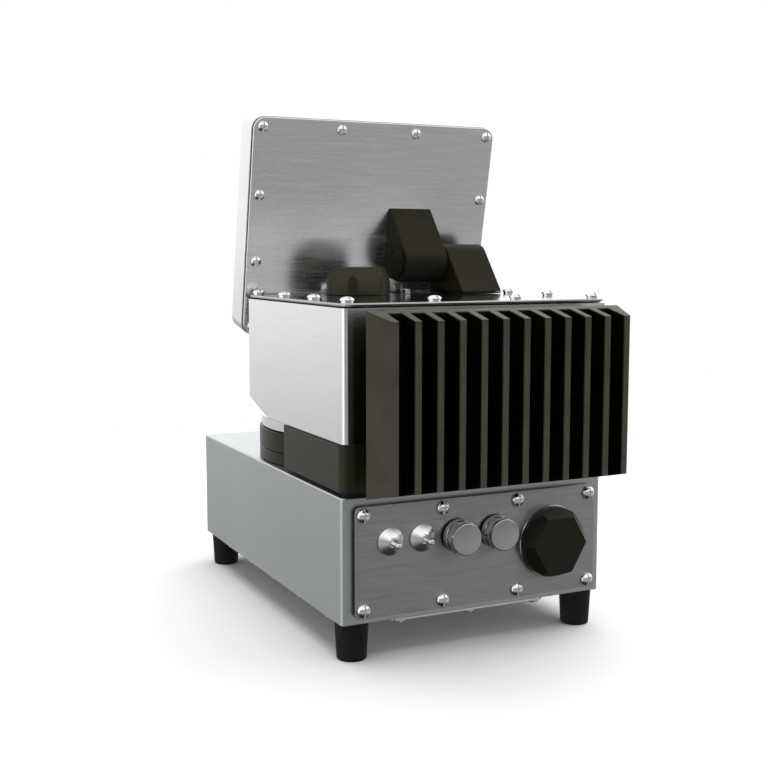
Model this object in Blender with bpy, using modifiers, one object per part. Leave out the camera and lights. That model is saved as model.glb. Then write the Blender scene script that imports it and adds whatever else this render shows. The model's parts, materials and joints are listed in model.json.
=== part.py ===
"""Bench near-infrared analyzer with a turning sample dish and a tilting display.

A base housing on four rubber feet carries a motor-driven turntable with a shallow dish. A support
block behind the dish carries the measuring head, which stands over the rear part of the dish. A
finned heat sink hangs on the back of the head, and the display stands on the head's lid.

Lengths are in metres. X is the width, +Y is the rear with the connectors and the heat sink, and
+Z is up. The origin lies on the surface that the feet stand on, in the middle of the whole object.
"""

import math

import bmesh
import bpy
from mathutils import Matrix, Vector

MM = 0.001

# Clearances
SEAT = 0.3 * MM  # air between two pieces that rest on each other
BORE = 0.3 * MM  # radial clearance round a pin, shank or cable

# Base housing
BASE_WIDTH = 200 * MM
BASE_LENGTH = 294 * MM
BASE_HEIGHT = 84 * MM
BASE_WALL = 4 * MM
BASE_CORNER = 3 * MM
BASE_TOP_EDGE = 1.2 * MM

# Feet
FOOT_HEIGHT = 25.2 * MM
FOOT_TOP_RADIUS = 11.3 * MM
FOOT_LOW_RADIUS = 10.1 * MM
FOOT_EDGE = 1.2 * MM
FOOT_SIDE_INSET = 12 * MM
FOOT_REAR_INSET = 11.6 * MM
FOOT_FRONT_INSET = 17 * MM
FOOT_STUD_RADIUS = 3 * MM
FOOT_STUD_LENGTH = 6 * MM

# Bottom cover, notched round the feet
COVER_SIDE_MARGIN = 5 * MM
COVER_END_MARGIN = 8 * MM
COVER_NOTCH_MARGIN = 4 * MM  # from a foot to the notch's edge along the length
COVER_TONGUE = 117 * MM  # width of the cover between the feet
COVER_CORNER = 3 * MM
COVER_SEAL = 1.2 * MM
COVER_PLATE = 1.7 * MM
COVER_SEAL_INSET = 0.6 * MM
COVER_SEAL_WIDTH = 11 * MM
COVER_SCREW_INSET = 5.4 * MM
COVER_END_SCREWS = 3
COVER_SIDE_SCREWS = 5
COVER_SIDE_SCREW_MARGIN = 13.2 * MM  # from the notch to the first screw of a side row

# Rear panel
PANEL_SIDE_MARGIN = 7.8 * MM
PANEL_LOW_MARGIN = 4.6 * MM
PANEL_TOP_MARGIN = 5.8 * MM
PANEL_CORNER = 4 * MM
PANEL_SEAL = 1.7 * MM
PANEL_PLATE = 1.7 * MM
PANEL_SEAL_WIDTH = 11.5 * MM
PANEL_SEAL_INSET = 0.6 * MM
PANEL_SCREW_INSET = 5.75 * MM
PANEL_SCREW_COLUMNS = 4

# Domed, slotted screws
SCREW_HEAD_RADIUS = 4.6 * MM
SCREW_HEAD_HEIGHT = 3.3 * MM
SCREW_RIM = 0.7 * MM
SCREW_SHANK_RADIUS = 2.4 * MM
SCREW_SHANK_LENGTH = 8 * MM
SLOT_WIDTH = 1.1 * MM
SLOT_DEPTH = 1.4 * MM
PLATE_SCREW_RADIUS = 4 * MM
PLATE_SCREW_HEIGHT = 3 * MM
LID_SCREW_HEIGHT = 4.1 * MM
LID_SCREW_NECK_RADIUS = 3.2 * MM
LID_SCREW_NECK_HEIGHT = 1 * MM

# Fittings on the rear panel. A column is its x as a share of the base's half width, and a height
# is measured from the base's lower face.
PURGE_COLUMNS = (0.676, 0.442)
PURGE_HEIGHT = 54 * MM
PURGE_RADIUS = 8.5 * MM
PURGE_DOME = 6 * MM
PURGE_RIM = 1 * MM
PURGE_STUB_RADIUS = 1.6 * MM
PURGE_WELL_WIDTH = 1.3 * MM  # of the groove round the stub's root
PURGE_WELL_DEPTH = 1.2 * MM
PURGE_REACH = 14.5 * MM
PURGE_SHANK_RADIUS = 5 * MM
PLUG_COLUMNS = (0.185, -0.104)
PLUG_ROW = 53.1 * MM
PLUG_SEAL_RADIUS = 11.1 * MM
PLUG_SEAL_HEIGHT = 1.5 * MM
PLUG_COLLAR_RADIUS = 11 * MM
PLUG_COLLAR_HEIGHT = 4.2 * MM
PLUG_HEX_RADIUS = 12.1 * MM
PLUG_FACE_RADIUS = 10.5 * MM
PLUG_HEIGHT = 15 * MM
PLUG_CHAMFER = 1 * MM
PLUG_SHANK_RADIUS = 7 * MM
SOCKET_CAP_COLUMN = -0.558
SOCKET_CAP_ROW = 41.2 * MM
SOCKET_CAP_RING_RADIUS = 25.2 * MM
SOCKET_CAP_RING_HEIGHT = 1.3 * MM
SOCKET_CAP_RADIUS = 24.3 * MM
SOCKET_CAP_HEIGHT = 11.4 * MM
SOCKET_CAP_SKIRT = 2.5 * MM
SOCKET_CAP_SHANK_RADIUS = 18 * MM
FITTING_SHANK_LENGTH = 7.6 * MM  # behind the rear panel's plate
CAP_HEX_RADIUS = 21 * MM
CAP_EDGE = 0.8 * MM  # chamfer of a cap's face
SMALL_EDGE = 0.4 * MM  # chamfer of a small turned piece

# Turntable, its bearing, spindle and motor
RING_RADIUS = 96.2 * MM
LOWER_RING_HEIGHT = 8.6 * MM
TURNTABLE_HEIGHT = 14.9 * MM
RING_CHAMFER = 0.6 * MM
TURNTABLE_BOSS_RADIUS = 20 * MM
TURNTABLE_BOSS_HEIGHT = 2 * MM
BEARING_RADIUS = 16 * MM
BEARING_DROP = 0.6 * MM  # from the fixed ring's upper face down to the bearing's
SPINDLE_RADIUS = 5 * MM
SPINDLE_SOCKET_DEPTH = 9 * MM
SPINDLE_RISE = 2 * MM  # from the motor's lower face up to the spindle's end
MOTOR_WIDTH = 42 * MM
MOTOR_HEIGHT = 34 * MM
MOTOR_CORNER = 4 * MM

# Sample dish
DISH_RADIUS = 94.5 * MM
DISH_HEIGHT = 8.8 * MM
DISH_WALL = 1.5 * MM
DISH_FLOOR = 1.5 * MM
DISH_EDGE = 0.8 * MM
DISH_GAP = 1.2 * MM  # running gap from the dish's rim to the measuring head

# Support block between the base and the head
BLOCK_SEAL = 2.3 * MM
BLOCK_SEAL_INSET = 4 * MM
BLOCK_LENGTH = 106.35 * MM
BLOCK_REAR_CORNER = 9 * MM
BLOCK_LOW_CHAMFER = 0.8 * MM
BLOCK_RING_GAP = 1.2 * MM
DUCT_SIDE_INSET = 28 * MM  # from the block's side face at -X
DUCT_REAR_INSET = 16 * MM  # from the block's rear face
DUCT_RADIUS = 7 * MM
LOOM_RADIUS = 3.5 * MM

# Measuring head
HEAD_WIDTH = 200 * MM
HEAD_LENGTH = 181.65 * MM
HEAD_HEIGHT = 86.5 * MM
HEAD_OVERHANG = 4.05 * MM  # its rear face stands behind the base's
HEAD_CORNER = 3.5 * MM
HEAD_WALL = 5 * MM
HEAD_FLOOR = 6 * MM
HEAD_RIM_WIDTH = 13 * MM
HEAD_RIM_HEIGHT = 8 * MM
HEAD_CHAMFER_LENGTH = 41.6 * MM
HEAD_CHAMFER_RISE = 12.9 * MM

# Lid of the head
LID_SEAL = 1.1 * MM
LID_PLATE = 1.4 * MM
LID_CORNER = 7.5 * MM
LID_SEAL_INSET = 0.8 * MM
LID_SCREW_SIDE_INSET = 6.7 * MM
LID_SCREW_REAR_INSET = 8.95 * MM
LID_SCREW_FRONT_INSET = 7 * MM
PERIMETER_SCREWS = 4  # along each side of the lid and of the display's back plate
EARTH_SCREW = (-16 * MM, 38.6 * MM)  # x, and distance from the head's front
EARTH_SCREW_RADIUS = 4 * MM
EARTH_SCREW_HEIGHT = 4 * MM
LAMP_CAP = (25.3 * MM, 39.6 * MM)  # x, and distance from the head's front
LAMP_CAP_RADIUS = 24 * MM
LAMP_CAP_HEIGHT = 20.5 * MM
LAMP_CAP_SKIRT = 8 * MM
LAMP_CAP_SHANK_RADIUS = 16 * MM
LAMP_CAP_SHANK_LENGTH = 10 * MM
LAMP_HOLDER_WALL = 2.5 * MM
LAMP_HOLDER_LENGTH = 42 * MM
LAMP_RADIUS = 12 * MM
LAMP_LENGTH = 24 * MM
LAMP_BASE = 3 * MM  # width and height of the collar below the bulb

# Optics and electronics inside the head
WINDOW_FRONT_MARGIN = 3 * MM  # from the chamfer below the head's front to the retaining ring
WINDOW_RADIUS = 30 * MM
WINDOW_THICKNESS = 3 * MM
WINDOW_LIP = 3 * MM
RETAINER_WIDTH = 8 * MM
RETAINER_HEIGHT = 3 * MM
SPECTROMETER_SIDE_MARGIN = 38 * MM  # from the head's side faces
SPECTROMETER_LAMP_GAP = 4 * MM  # from the lamp's holder
SPECTROMETER_HEIGHT = 46 * MM
SPECTROMETER_CORNER = 4 * MM
SPECTROMETER_ENTRY_RADIUS = 18 * MM
STANDOFF_RADIUS = 3 * MM
STANDOFF_HEIGHT = 8 * MM
STANDOFF_INSET = 10 * MM
BOARD_THICKNESS = 1.6 * MM
MAIN_BOARD_SIDE_MARGIN = 22 * MM  # from the head's side faces
MAIN_BOARD_REAR_INSET = 10 * MM  # from the head's inner rear wall
CHIP_WIDTH = 32 * MM
CHIP_HEIGHT = 3 * MM
CHIP_COLUMNS = (-0.25, 0.25)  # as shares of the board's width and length
CHIP_ROWS = (-0.22, 0.22)

# Electronics inside the base
SUPPLY_SIDE_MARGIN = 40 * MM  # from the base's side faces
SUPPLY_LENGTH = 62 * MM
SUPPLY_HEIGHT = 36 * MM
SUPPLY_FRONT_INSET = 20 * MM
SUPPLY_CORNER = 2 * MM
INTERFACE_BOARD_MARGIN = 16 * MM  # from the base's side faces
INTERFACE_BOARD_HEIGHT = 44 * MM
LOOM_SOCKET_WALL = 1.5 * MM

# Heat sink and the spacer that carries it
SPACER_WIDTH = 110 * MM
SPACER_HEIGHT = 60 * MM
SPACER_LOW = 12 * MM  # above the head's lower face
SPACER_DEPTH = 19.35 * MM  # from the head's rear face to the heat sink
SINK_DEPTH = 23.9 * MM
SINK_FLOOR = 5.9 * MM
SINK_ROOT_WIDTH = 187 * MM
SINK_ROOT_HEIGHT = 116.9 * MM
SINK_DRAFT_SIDE = 6.7 * MM
SINK_DRAFT_END = 5.8 * MM
SINK_LOW = 3.3 * MM  # its lower edge above the base's upper face
FIN_COUNT = 12
FIN_PITCH = 15.4 * MM
FIN_TIP = 3.4 * MM
FIN_ROOT = 5.2 * MM

# Display and its hinge
AXIS_FROM_HEAD_FRONT = 27.6 * MM
AXIS_ABOVE_LID = 23.5 * MM
DISPLAY_TILT = math.radians(11.48)
DISPLAY_WIDTH = 204 * MM
DISPLAY_ABOVE_AXIS = 104.8 * MM
DISPLAY_BELOW_AXIS = 61.5 * MM
DISPLAY_CORNER = 10 * MM
DISPLAY_FRONT_EDGE = 2 * MM
DISPLAY_SHELL_DEPTH = 24.2 * MM
DISPLAY_WALL = 3 * MM
DISPLAY_BACK_RIM = 13 * MM
DISPLAY_SEAL = 1.2 * MM
DISPLAY_SEAL_INSET = 1.8 * MM
DISPLAY_PLATE = 2 * MM
DISPLAY_PLATE_INSET = 0.8 * MM
DISPLAY_SCREW_INSET = 6.9 * MM
PLATE_FROM_AXIS = 23.86 * MM  # from the hinge's axis to the back plate's outer face
GLASS_MARGIN = 9 * MM
GLASS_THICKNESS = 3 * MM
GLASS_LIP = 4 * MM
GLASS_CORNER = 3 * MM
MODULE_DEPTH = 8 * MM
HINGE_RADIUS = 14.8 * MM
PIN_RADIUS = 5 * MM
PIN_HEAD_RADIUS = 10 * MM
PIN_HEAD = 1.2 * MM
ARM_START = -14.2 * MM
ARM_WIDTH = 36.2 * MM
ARM_HEIGHT_ON_PLATE = 38.9 * MM  # top of its foot above the axis, along the plate
KNUCKLE_GAP = 0.8 * MM
BRACKET_WIDTH = 34.8 * MM
BRACKET_REAR_REACH = 36.5 * MM  # from the axis to the back end of its foot
BRACKET_FRONT_REACH = 17.6 * MM
BRACKET_SEAL = 1.2 * MM
BRACKET_SEAL_INSET = 0.4 * MM

# Facets
RING_STEPS = 40
CAP_STEPS = 24
FITTING_STEPS = 16
SLOTTED_STEPS = 12
HOLE_STEPS = 8
SCREW_STEPS = 8
DOME_STEPS = 3
SCREW_DOME_STEPS = 2
CORNER_STEPS = 3
LARGE_HOLE = 8 * MM  # radius from which a hole gets as many facets as a cap
OVERSHOOT = 2 * MM  # how far a cutter runs past the face that it opens
EMBED = 0.5 * MM  # how far a fused screw head reaches into its plate

# Places that follow from the sizes
SINK_TIP = HEAD_OVERHANG + SPACER_DEPTH + SINK_DEPTH
REAR = (BASE_LENGTH - SINK_TIP) / 2
FRONT = REAR - BASE_LENGTH
BASE_LOW = FOOT_HEIGHT + SEAT
BASE_TOP = BASE_LOW + BASE_HEIGHT
DISH_AXIS_Y = (REAR + FRONT) / 2
LOWER_RING_LOW = BASE_TOP + SEAT
TURNTABLE_LOW = LOWER_RING_LOW + LOWER_RING_HEIGHT + SEAT
DISH_LOW = TURNTABLE_LOW + TURNTABLE_HEIGHT + SEAT
HEAD_LOW = DISH_LOW + DISH_HEIGHT + DISH_GAP
HEAD_TOP = HEAD_LOW + HEAD_HEIGHT
HEAD_REAR = REAR + HEAD_OVERHANG
HEAD_FRONT = HEAD_REAR - HEAD_LENGTH
LID_LOW = HEAD_TOP + SEAT + LID_SEAL + SEAT
LID_TOP = LID_LOW + LID_PLATE
PANEL_FACE = REAR + SEAT + PANEL_SEAL + SEAT + PANEL_PLATE
PANEL_BACK = PANEL_FACE - PANEL_PLATE
DUCT_X = DUCT_SIDE_INSET - HEAD_WIDTH / 2
DUCT_Y = HEAD_REAR - DUCT_REAR_INSET
WINDOW_Y = HEAD_FRONT + HEAD_CHAMFER_LENGTH + WINDOW_FRONT_MARGIN + WINDOW_RADIUS + RETAINER_WIDTH
LAMP_HOLDER_RADIUS = LAMP_CAP_SHANK_RADIUS + BORE + LAMP_HOLDER_WALL
AXIS_Y = HEAD_FRONT + AXIS_FROM_HEAD_FRONT
AXIS_Z = LID_TOP + AXIS_ABOVE_LID

# Depths of the display's pieces, from its hinge's axis towards the front
PLATE_BACK = -PLATE_FROM_AXIS
DISPLAY_SEAL_BACK = PLATE_BACK - DISPLAY_PLATE - SEAT
SHELL_BACK = DISPLAY_SEAL_BACK - DISPLAY_SEAL - SEAT
SHELL_FRONT = SHELL_BACK - DISPLAY_SHELL_DEPTH
SHELL_FLOOR = GLASS_THICKNESS + SEAT + DISPLAY_WALL

# Finishes as (linear colour, roughness, metallic)
BLASTED_STEEL = ((0.50, 0.53, 0.55), 0.45, 1.0)
BRUSHED_STEEL = ((0.42, 0.42, 0.43), 0.38, 1.0)
POLISHED_STEEL = ((0.78, 0.78, 0.80), 0.12, 1.0)
BLACK_ANODISED = ((0.022, 0.022, 0.017), 0.42, 0.5)
BLACK_RUBBER = ((0.012, 0.012, 0.011), 0.75, 0.0)
PALE_ALUMINIUM = ((0.62, 0.63, 0.64), 0.4, 0.9)
CIRCUIT_BOARD = ((0.02, 0.10, 0.04), 0.5, 0.0)
GLASS = ((0.02, 0.02, 0.025), 0.08, 0.0)
BRASS = ((0.60, 0.42, 0.16), 0.3, 1.0)

OBJECT_NAME = "near_infrared_analyzer"


def clear_scene():
    """Remove what the scene holds and return collections for the parts and the cutters."""
    for obj in list(bpy.data.objects):
        bpy.data.objects.remove(obj, do_unlink=True)
    collections = []
    for name in (OBJECT_NAME, "cutters"):
        collection = bpy.data.collections.new(name)
        bpy.context.scene.collection.children.link(collection)
        collections.append(collection)
    return collections


PARTS, CUTTERS = clear_scene()


def material_for(name, finish):
    """A Principled material of the sub-part's own."""
    colour, roughness, metallic = finish
    material = bpy.data.materials.new(name)
    material.use_nodes = True
    shader = material.node_tree.nodes["Principled BSDF"]
    shader.inputs["Base Color"].default_value = (*colour, 1)
    shader.inputs["Roughness"].default_value = roughness
    shader.inputs["Metallic"].default_value = metallic
    material.diffuse_color = (*colour, 1)
    return material


def add_object(name, mesh, finish, place=None, parent=None):
    """Put a mesh in the scene. With no finish it is a cutter or another helper."""
    obj = bpy.data.objects.new(name, mesh)
    if finish is None:
        CUTTERS.objects.link(obj)
        obj.hide_render = True
        obj.display_type = "WIRE"
    else:
        PARTS.objects.link(obj)
        if not mesh.materials:
            mesh.materials.append(material_for(name, finish))
    obj.parent = parent
    obj.matrix_local = place or Matrix()
    return obj


def mesh_of(name, bm):
    """Close a bmesh and keep it as a mesh, smooth but for its sharp edges."""
    mesh = bpy.data.meshes.new(name)
    bm.to_mesh(mesh)
    bm.free()
    mesh.shade_smooth()
    mesh.set_sharp_from_angle(angle=math.radians(30))
    return mesh


def evaluated_mesh(obj):
    """The object's shape after its modifiers, as a mesh of its own."""
    bpy.context.view_layer.update()
    graph = bpy.context.evaluated_depsgraph_get()
    return bpy.data.meshes.new_from_object(obj.evaluated_get(graph))


def bevel_edges(bm, chosen, width, segments):
    """Round the edges for which chosen(first point, second point) holds."""
    edges = [edge for edge in bm.edges if chosen(edge.verts[0].co, edge.verts[1].co)]
    bmesh.ops.bevel(
        bm,
        geom=edges,
        offset=width,
        segments=segments,
        profile=0.5,
        affect="EDGES",
        material=-1,
    )


def along(axis):
    """A test for edges that run along the axis with this number."""

    def chosen(first, second):
        step = first - second
        return abs(step[axis]) > 0.9 * step.length

    return chosen


def on_plane(axis, value):
    """A test for edges that lie in the plane where the coordinate has this value."""

    def chosen(first, second):
        return abs(first[axis] - value) < 1e-6 and abs(second[axis] - value) < 1e-6

    return chosen


def box_bmesh(low, high, axis=2, corner=0.0):
    """A box between two corners, with the edges along one axis rounded."""
    low = Vector(low)
    high = Vector(high)
    bm = bmesh.new()
    bmesh.ops.create_cube(bm, size=1)
    bmesh.ops.scale(bm, vec=high - low, verts=bm.verts)
    bmesh.ops.translate(bm, vec=(low + high) / 2, verts=bm.verts)
    if corner:
        bevel_edges(bm, along(axis), corner, CORNER_STEPS)
    return bm


def box(name, low, high, finish, axis=2, corner=0.0, parent=None):
    """A box between two corners as an object."""
    bm = box_bmesh(low, high, axis, corner)
    return add_object(name, mesh_of(name, bm), finish, parent=parent)


def turned(name, profile, steps, finish, place=None, parent=None, closed=False):
    """A turned piece. The profile of (radius, height) runs down its outer side.

    An open profile starts and ends on the axis. A closed one is the section of a ring.
    """
    bm = bmesh.new()
    points = [bm.verts.new((radius, 0, height)) for radius, height in profile]
    for first, second in zip(points, points[1:]):
        bm.edges.new((first, second))
    if closed:
        bm.edges.new((points[-1], points[0]))
    obj = add_object(name, mesh_of(name, bm), finish, place, parent)
    screw = obj.modifiers.new("turn", "SCREW")
    screw.axis = "Z"
    screw.steps = steps
    screw.render_steps = steps
    screw.use_merge_vertices = True
    screw.merge_threshold = 0.00001
    screw.use_smooth_shade = False
    return obj


def ring_profile(outer, inner, low, high, chamfer=0.0):
    """Section of a flat ring, chamfered on both outer edges."""
    profile = [(outer - chamfer, high), (outer, high - chamfer)]
    profile += [(outer, low + chamfer), (outer - chamfer, low)]
    profile += [(inner, low), (inner, high)]
    return list(dict.fromkeys(profile))


def disc_profile(radius, low, high, chamfer=0.0):
    """Section of a plain disc, chamfered on both edges."""
    profile = [(0, high), (radius - chamfer, high), (radius, high - chamfer)]
    profile += [(radius, low + chamfer), (radius - chamfer, low), (0, low)]
    return list(dict.fromkeys(profile))


def rounded_outline(corners, radius, steps=CORNER_STEPS):
    """The polygon through the corners, each corner replaced by an arc."""
    points = []
    count = len(corners)
    for index, corner in enumerate(corners):
        here = Vector(corner)
        before = (Vector(corners[index - 1]) - here).normalized()
        after = (Vector(corners[(index + 1) % count]) - here).normalized()
        half = before.angle(after) / 2
        centre = here + (before + after).normalized() * radius / math.sin(half)
        spoke = here + before * radius / math.tan(half) - centre
        sweep = math.pi - 2 * half
        turn = 1 if before.x * after.y - before.y * after.x < 0 else -1
        for step in range(steps + 1):
            angle = turn * sweep * step / steps
            points.append(centre + Matrix.Rotation(angle, 2) @ spoke)
    return points


def extruded(name, outline, thickness, finish, place, parent=None, hole=None):
    """A flat outline, with or without the outline of a hole in it, with this thickness.

    The place is that of the middle of its thickness. A hole has as many points as its outline.
    """
    bm = bmesh.new()
    rims = []
    for points in (outline, hole or []):
        verts = [bm.verts.new((x, y, -thickness / 2)) for x, y in points]
        rims += [bm.edges.new(pair) for pair in zip(verts, verts[1:] + verts[:1])]
    if hole:
        cap = bmesh.ops.bridge_loops(bm, edges=rims)["faces"]
    else:
        cap = bmesh.ops.contextual_create(bm, geom=rims)["faces"]
    raised = bmesh.ops.extrude_face_region(bm, geom=cap, use_keep_orig=True)["geom"]
    top = [item for item in raised if isinstance(item, bmesh.types.BMVert)]
    bmesh.ops.translate(bm, vec=(0, 0, thickness), verts=top)
    bmesh.ops.recalc_face_normals(bm, faces=bm.faces)
    return add_object(name, mesh_of(name, bm), finish, place, parent)


def boolean(target, other, operation):
    """Cut the other object from the target, join it to it or keep what both share."""
    modifier = target.modifiers.new(other.name, "BOOLEAN")
    modifier.object = other
    modifier.operation = operation


def cut(target, *cutters):
    """Cut each cutter from the target."""
    for cutter in cutters:
        boolean(target, cutter, "DIFFERENCE")


def repeated(name, master, places, parent=None):
    """One helper that holds a copy of the master's shape at each place."""
    shape = evaluated_mesh(master)
    bm = bmesh.new()
    for place in places:
        copy = shape.copy()
        copy.transform(place)
        bm.from_mesh(copy)
        bpy.data.meshes.remove(copy)
    return add_object(name, mesh_of(name, bm), None, parent=parent)


def drill(name, radius, depth, places, parent=None):
    """Round holes of this depth, down from each place and a little out of it."""
    steps = HOLE_STEPS if radius < LARGE_HOLE else CAP_STEPS
    profile = disc_profile(radius / math.cos(math.pi / steps), -depth, OVERSHOOT)
    bit = turned(name + "_bit", profile, steps, None)
    return repeated(name, bit, places, parent)


def facing_rear(x, y, z):
    """A place whose Z axis points to the rear and whose Y axis points down."""
    return Matrix.Translation((x, y, z)) @ Matrix.Rotation(-math.pi / 2, 4, "X")


def facing_down(x, y, z):
    """A place whose Z axis points down."""
    return Matrix.Translation((x, y, z)) @ Matrix.Rotation(math.pi, 4, "X")


def spread(first, last, count):
    """Evenly spaced values from first to last."""
    return [first + (last - first) * index / (count - 1) for index in range(count)]


def perimeter(half_width, low, high, count):
    """Points spaced evenly along all four sides of a rectangle."""
    columns = spread(-half_width, half_width, count)
    rows = spread(low, high, count)
    ends = (0, count - 1)
    return [
        (x, y)
        for i, x in enumerate(columns)
        for j, y in enumerate(rows)
        if i in ends or j in ends
    ]


def dome(radius, height, rim):
    """Half the section of a domed head, from its top down to its rim."""
    points = []
    for step in range(SCREW_DOME_STEPS + 1):
        angle = math.pi / 2 * step / SCREW_DOME_STEPS
        points.append((radius * math.sin(angle), rim + (height - rim) * math.cos(angle)))
    return points


def slot_cutter(name, radius, height):
    """The screwdriver slot of a head, along Y."""
    length = radius + OVERSHOOT
    low = (-SLOT_WIDTH / 2, -length, height - SLOT_DEPTH)
    high = (SLOT_WIDTH / 2, length, height + OVERSHOOT)
    return box(name, low, high, None)


def fuse_screws(target, name, radius, height, places, parent=None):
    """Join a row of domed screw heads to the plate that they hold."""
    profile = dome(radius, height, SCREW_RIM) + [(radius, -EMBED), (0, -EMBED)]
    master = turned(name + "_one", profile, SCREW_STEPS, None)
    boolean(target, repeated(name, master, places, parent), "UNION")


def hex_prism(name, radius, low, high, draft, finish=None, place=None, turn=0.0):
    """A hexagonal frustum. Draft is how much wider its lower end is."""
    bm = bmesh.new()
    bmesh.ops.create_cone(
        bm,
        cap_ends=True,
        segments=6,
        radius1=radius + draft,
        radius2=radius,
        depth=high - low,
        matrix=Matrix.Translation((0, 0, (low + high) / 2)) @ Matrix.Rotation(turn, 4, "Z"),
    )
    return add_object(name, mesh_of(name, bm), finish, place)


def hex_cap(name, radius, height, skirt, shank_radius, shank_length, place):
    """A screw cap: a round skirt, six facets that slope to a hexagonal face, and a shank."""
    profile = [(0, height), (radius - CAP_EDGE, height), (radius, height - CAP_EDGE)]
    profile += [(radius, 0), (shank_radius, 0), (shank_radius, -shank_length)]
    profile += [(0, -shank_length)]
    cap = turned(name, profile, CAP_STEPS, BLACK_ANODISED, place)
    flat = math.cos(math.pi / 6)
    rise = height - skirt
    slope = (radius / flat - CAP_HEX_RADIUS) / rise
    deep = height + shank_length + OVERSHOOT
    facets = hex_prism(
        name + "_facets", CAP_HEX_RADIUS, height - deep, height, slope * deep, place=place
    )
    boolean(cap, facets, "INTERSECT")
    return cap


def base_housing():
    """The base: a box open at the rear and below, where its covers close it."""
    half = BASE_WIDTH / 2
    bm = box_bmesh((-half, FRONT, BASE_LOW), (half, REAR, BASE_TOP), 2, BASE_CORNER)
    bevel_edges(bm, on_plane(2, BASE_TOP), BASE_TOP_EDGE, 2)
    base = add_object("base_housing", mesh_of("base_housing", bm), BLASTED_STEEL)
    inner = half - BASE_WALL
    cavity = box(
        "base_cavity",
        (-inner, FRONT + BASE_WALL, BASE_LOW + BASE_WALL),
        (inner, REAR - BASE_WALL, BASE_TOP - BASE_WALL),
        None,
    )
    cut(base, cavity, panel_opening("base_rear_opening"), cover_opening("base_low_opening"))
    depth = BASE_WALL + OVERSHOOT
    cut(base, drill("base_panel_holes", SCREW_SHANK_RADIUS + BORE, depth, panel_screws(REAR)))
    studs = [facing_down(x, y, BASE_LOW) for x, y in foot_places()]
    cut(base, drill("base_stud_holes", FOOT_STUD_RADIUS + BORE, depth, studs))
    spindle = [Matrix.Translation((0, DISH_AXIS_Y, BASE_TOP))]
    cut(base, drill("base_spindle_hole", SPINDLE_RADIUS + BORE, 2 * BASE_WALL, spindle))
    cut(base, duct_hole("base_duct", BASE_TOP, 2 * BASE_WALL))
    return base


def foot_places():
    """Where the four feet stand, seen from above."""
    x = BASE_WIDTH / 2 - FOOT_SIDE_INSET
    rows = (REAR - FOOT_REAR_INSET, FRONT + FOOT_FRONT_INSET)
    return [(side * x, y) for y in rows for side in (1, -1)]


def feet():
    """Four conical rubber feet, each with a stud up into the base."""
    profile = [(0, FOOT_HEIGHT + FOOT_STUD_LENGTH)]
    profile += [(FOOT_STUD_RADIUS, FOOT_HEIGHT + FOOT_STUD_LENGTH)]
    profile += [(FOOT_STUD_RADIUS, FOOT_HEIGHT), (FOOT_TOP_RADIUS, FOOT_HEIGHT)]
    for step in range(DOME_STEPS):
        angle = math.pi / 2 * step / (DOME_STEPS - 1)
        radius = FOOT_LOW_RADIUS - FOOT_EDGE * (1 - math.cos(angle))
        profile.append((radius, FOOT_EDGE * (1 - math.sin(angle))))
    profile.append((0, 0))
    names = ("foot_rear_left", "foot_rear_right", "foot_front_left", "foot_front_right")
    for name, (x, y) in zip(names, foot_places()):
        turned(name, profile, FITTING_STEPS, BLACK_RUBBER, Matrix.Translation((x, y, 0)))


def cover_outline(inset):
    """Outline of the bottom cover, set in all round by the inset."""
    side = BASE_WIDTH / 2 - COVER_SIDE_MARGIN - inset
    tongue = COVER_TONGUE / 2 - inset
    rear = REAR - COVER_END_MARGIN - inset
    front = FRONT + COVER_END_MARGIN + inset
    reach = FOOT_TOP_RADIUS + COVER_NOTCH_MARGIN + inset
    rear_notch = REAR - FOOT_REAR_INSET - reach
    front_notch = FRONT + FOOT_FRONT_INSET + reach
    corners = [(-tongue, rear), (-tongue, rear_notch), (-side, rear_notch)]
    corners += [(-side, front_notch), (-tongue, front_notch), (-tongue, front)]
    corners += [(-x, y) for x, y in reversed(corners)]
    return rounded_outline(corners, COVER_CORNER)


def cover_opening(name):
    """Cutter for the space inside the bottom cover's seal."""
    outline = cover_outline(COVER_SEAL_WIDTH)
    depth = 2 * (BASE_WALL + COVER_SEAL + COVER_PLATE)
    return extruded(name, outline, depth, None, Matrix.Translation((0, 0, BASE_LOW)))


def cover_screws(z):
    """Places of the bottom cover's screws: a row at each end and one along each side."""
    side = BASE_WIDTH / 2 - COVER_SIDE_MARGIN - COVER_SCREW_INSET
    tongue = COVER_TONGUE / 2 - COVER_SCREW_INSET
    ends = COVER_END_MARGIN + COVER_SCREW_INSET
    reach = FOOT_TOP_RADIUS + COVER_NOTCH_MARGIN + COVER_SIDE_SCREW_MARGIN
    rear = REAR - FOOT_REAR_INSET - reach
    front = FRONT + FOOT_FRONT_INSET + reach
    columns = spread(-tongue, tongue, COVER_END_SCREWS)
    points = [(x, y) for x in columns for y in (REAR - ends, FRONT + ends)]
    points += [(x, y) for x in (-side, side) for y in spread(front, rear, COVER_SIDE_SCREWS)]
    return [facing_down(x, y, z) for x, y in points]


def bottom_cover():
    """The bottom cover's seal, and the cover with its screws."""
    middle = BASE_LOW - SEAT - COVER_SEAL / 2
    extruded(
        "bottom_cover_seal",
        cover_outline(COVER_SEAL_INSET),
        COVER_SEAL,
        BLACK_RUBBER,
        Matrix.Translation((0, 0, middle)),
        hole=cover_outline(COVER_SEAL_WIDTH),
    )
    top = BASE_LOW - 2 * SEAT - COVER_SEAL
    place = Matrix.Translation((0, 0, top - COVER_PLATE / 2))
    plate = extruded("bottom_cover", cover_outline(0), COVER_PLATE, BRUSHED_STEEL, place)
    places = cover_screws(top - COVER_PLATE)
    fuse_screws(plate, "cover_screws", SCREW_HEAD_RADIUS, SCREW_HEAD_HEIGHT, places)


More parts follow.
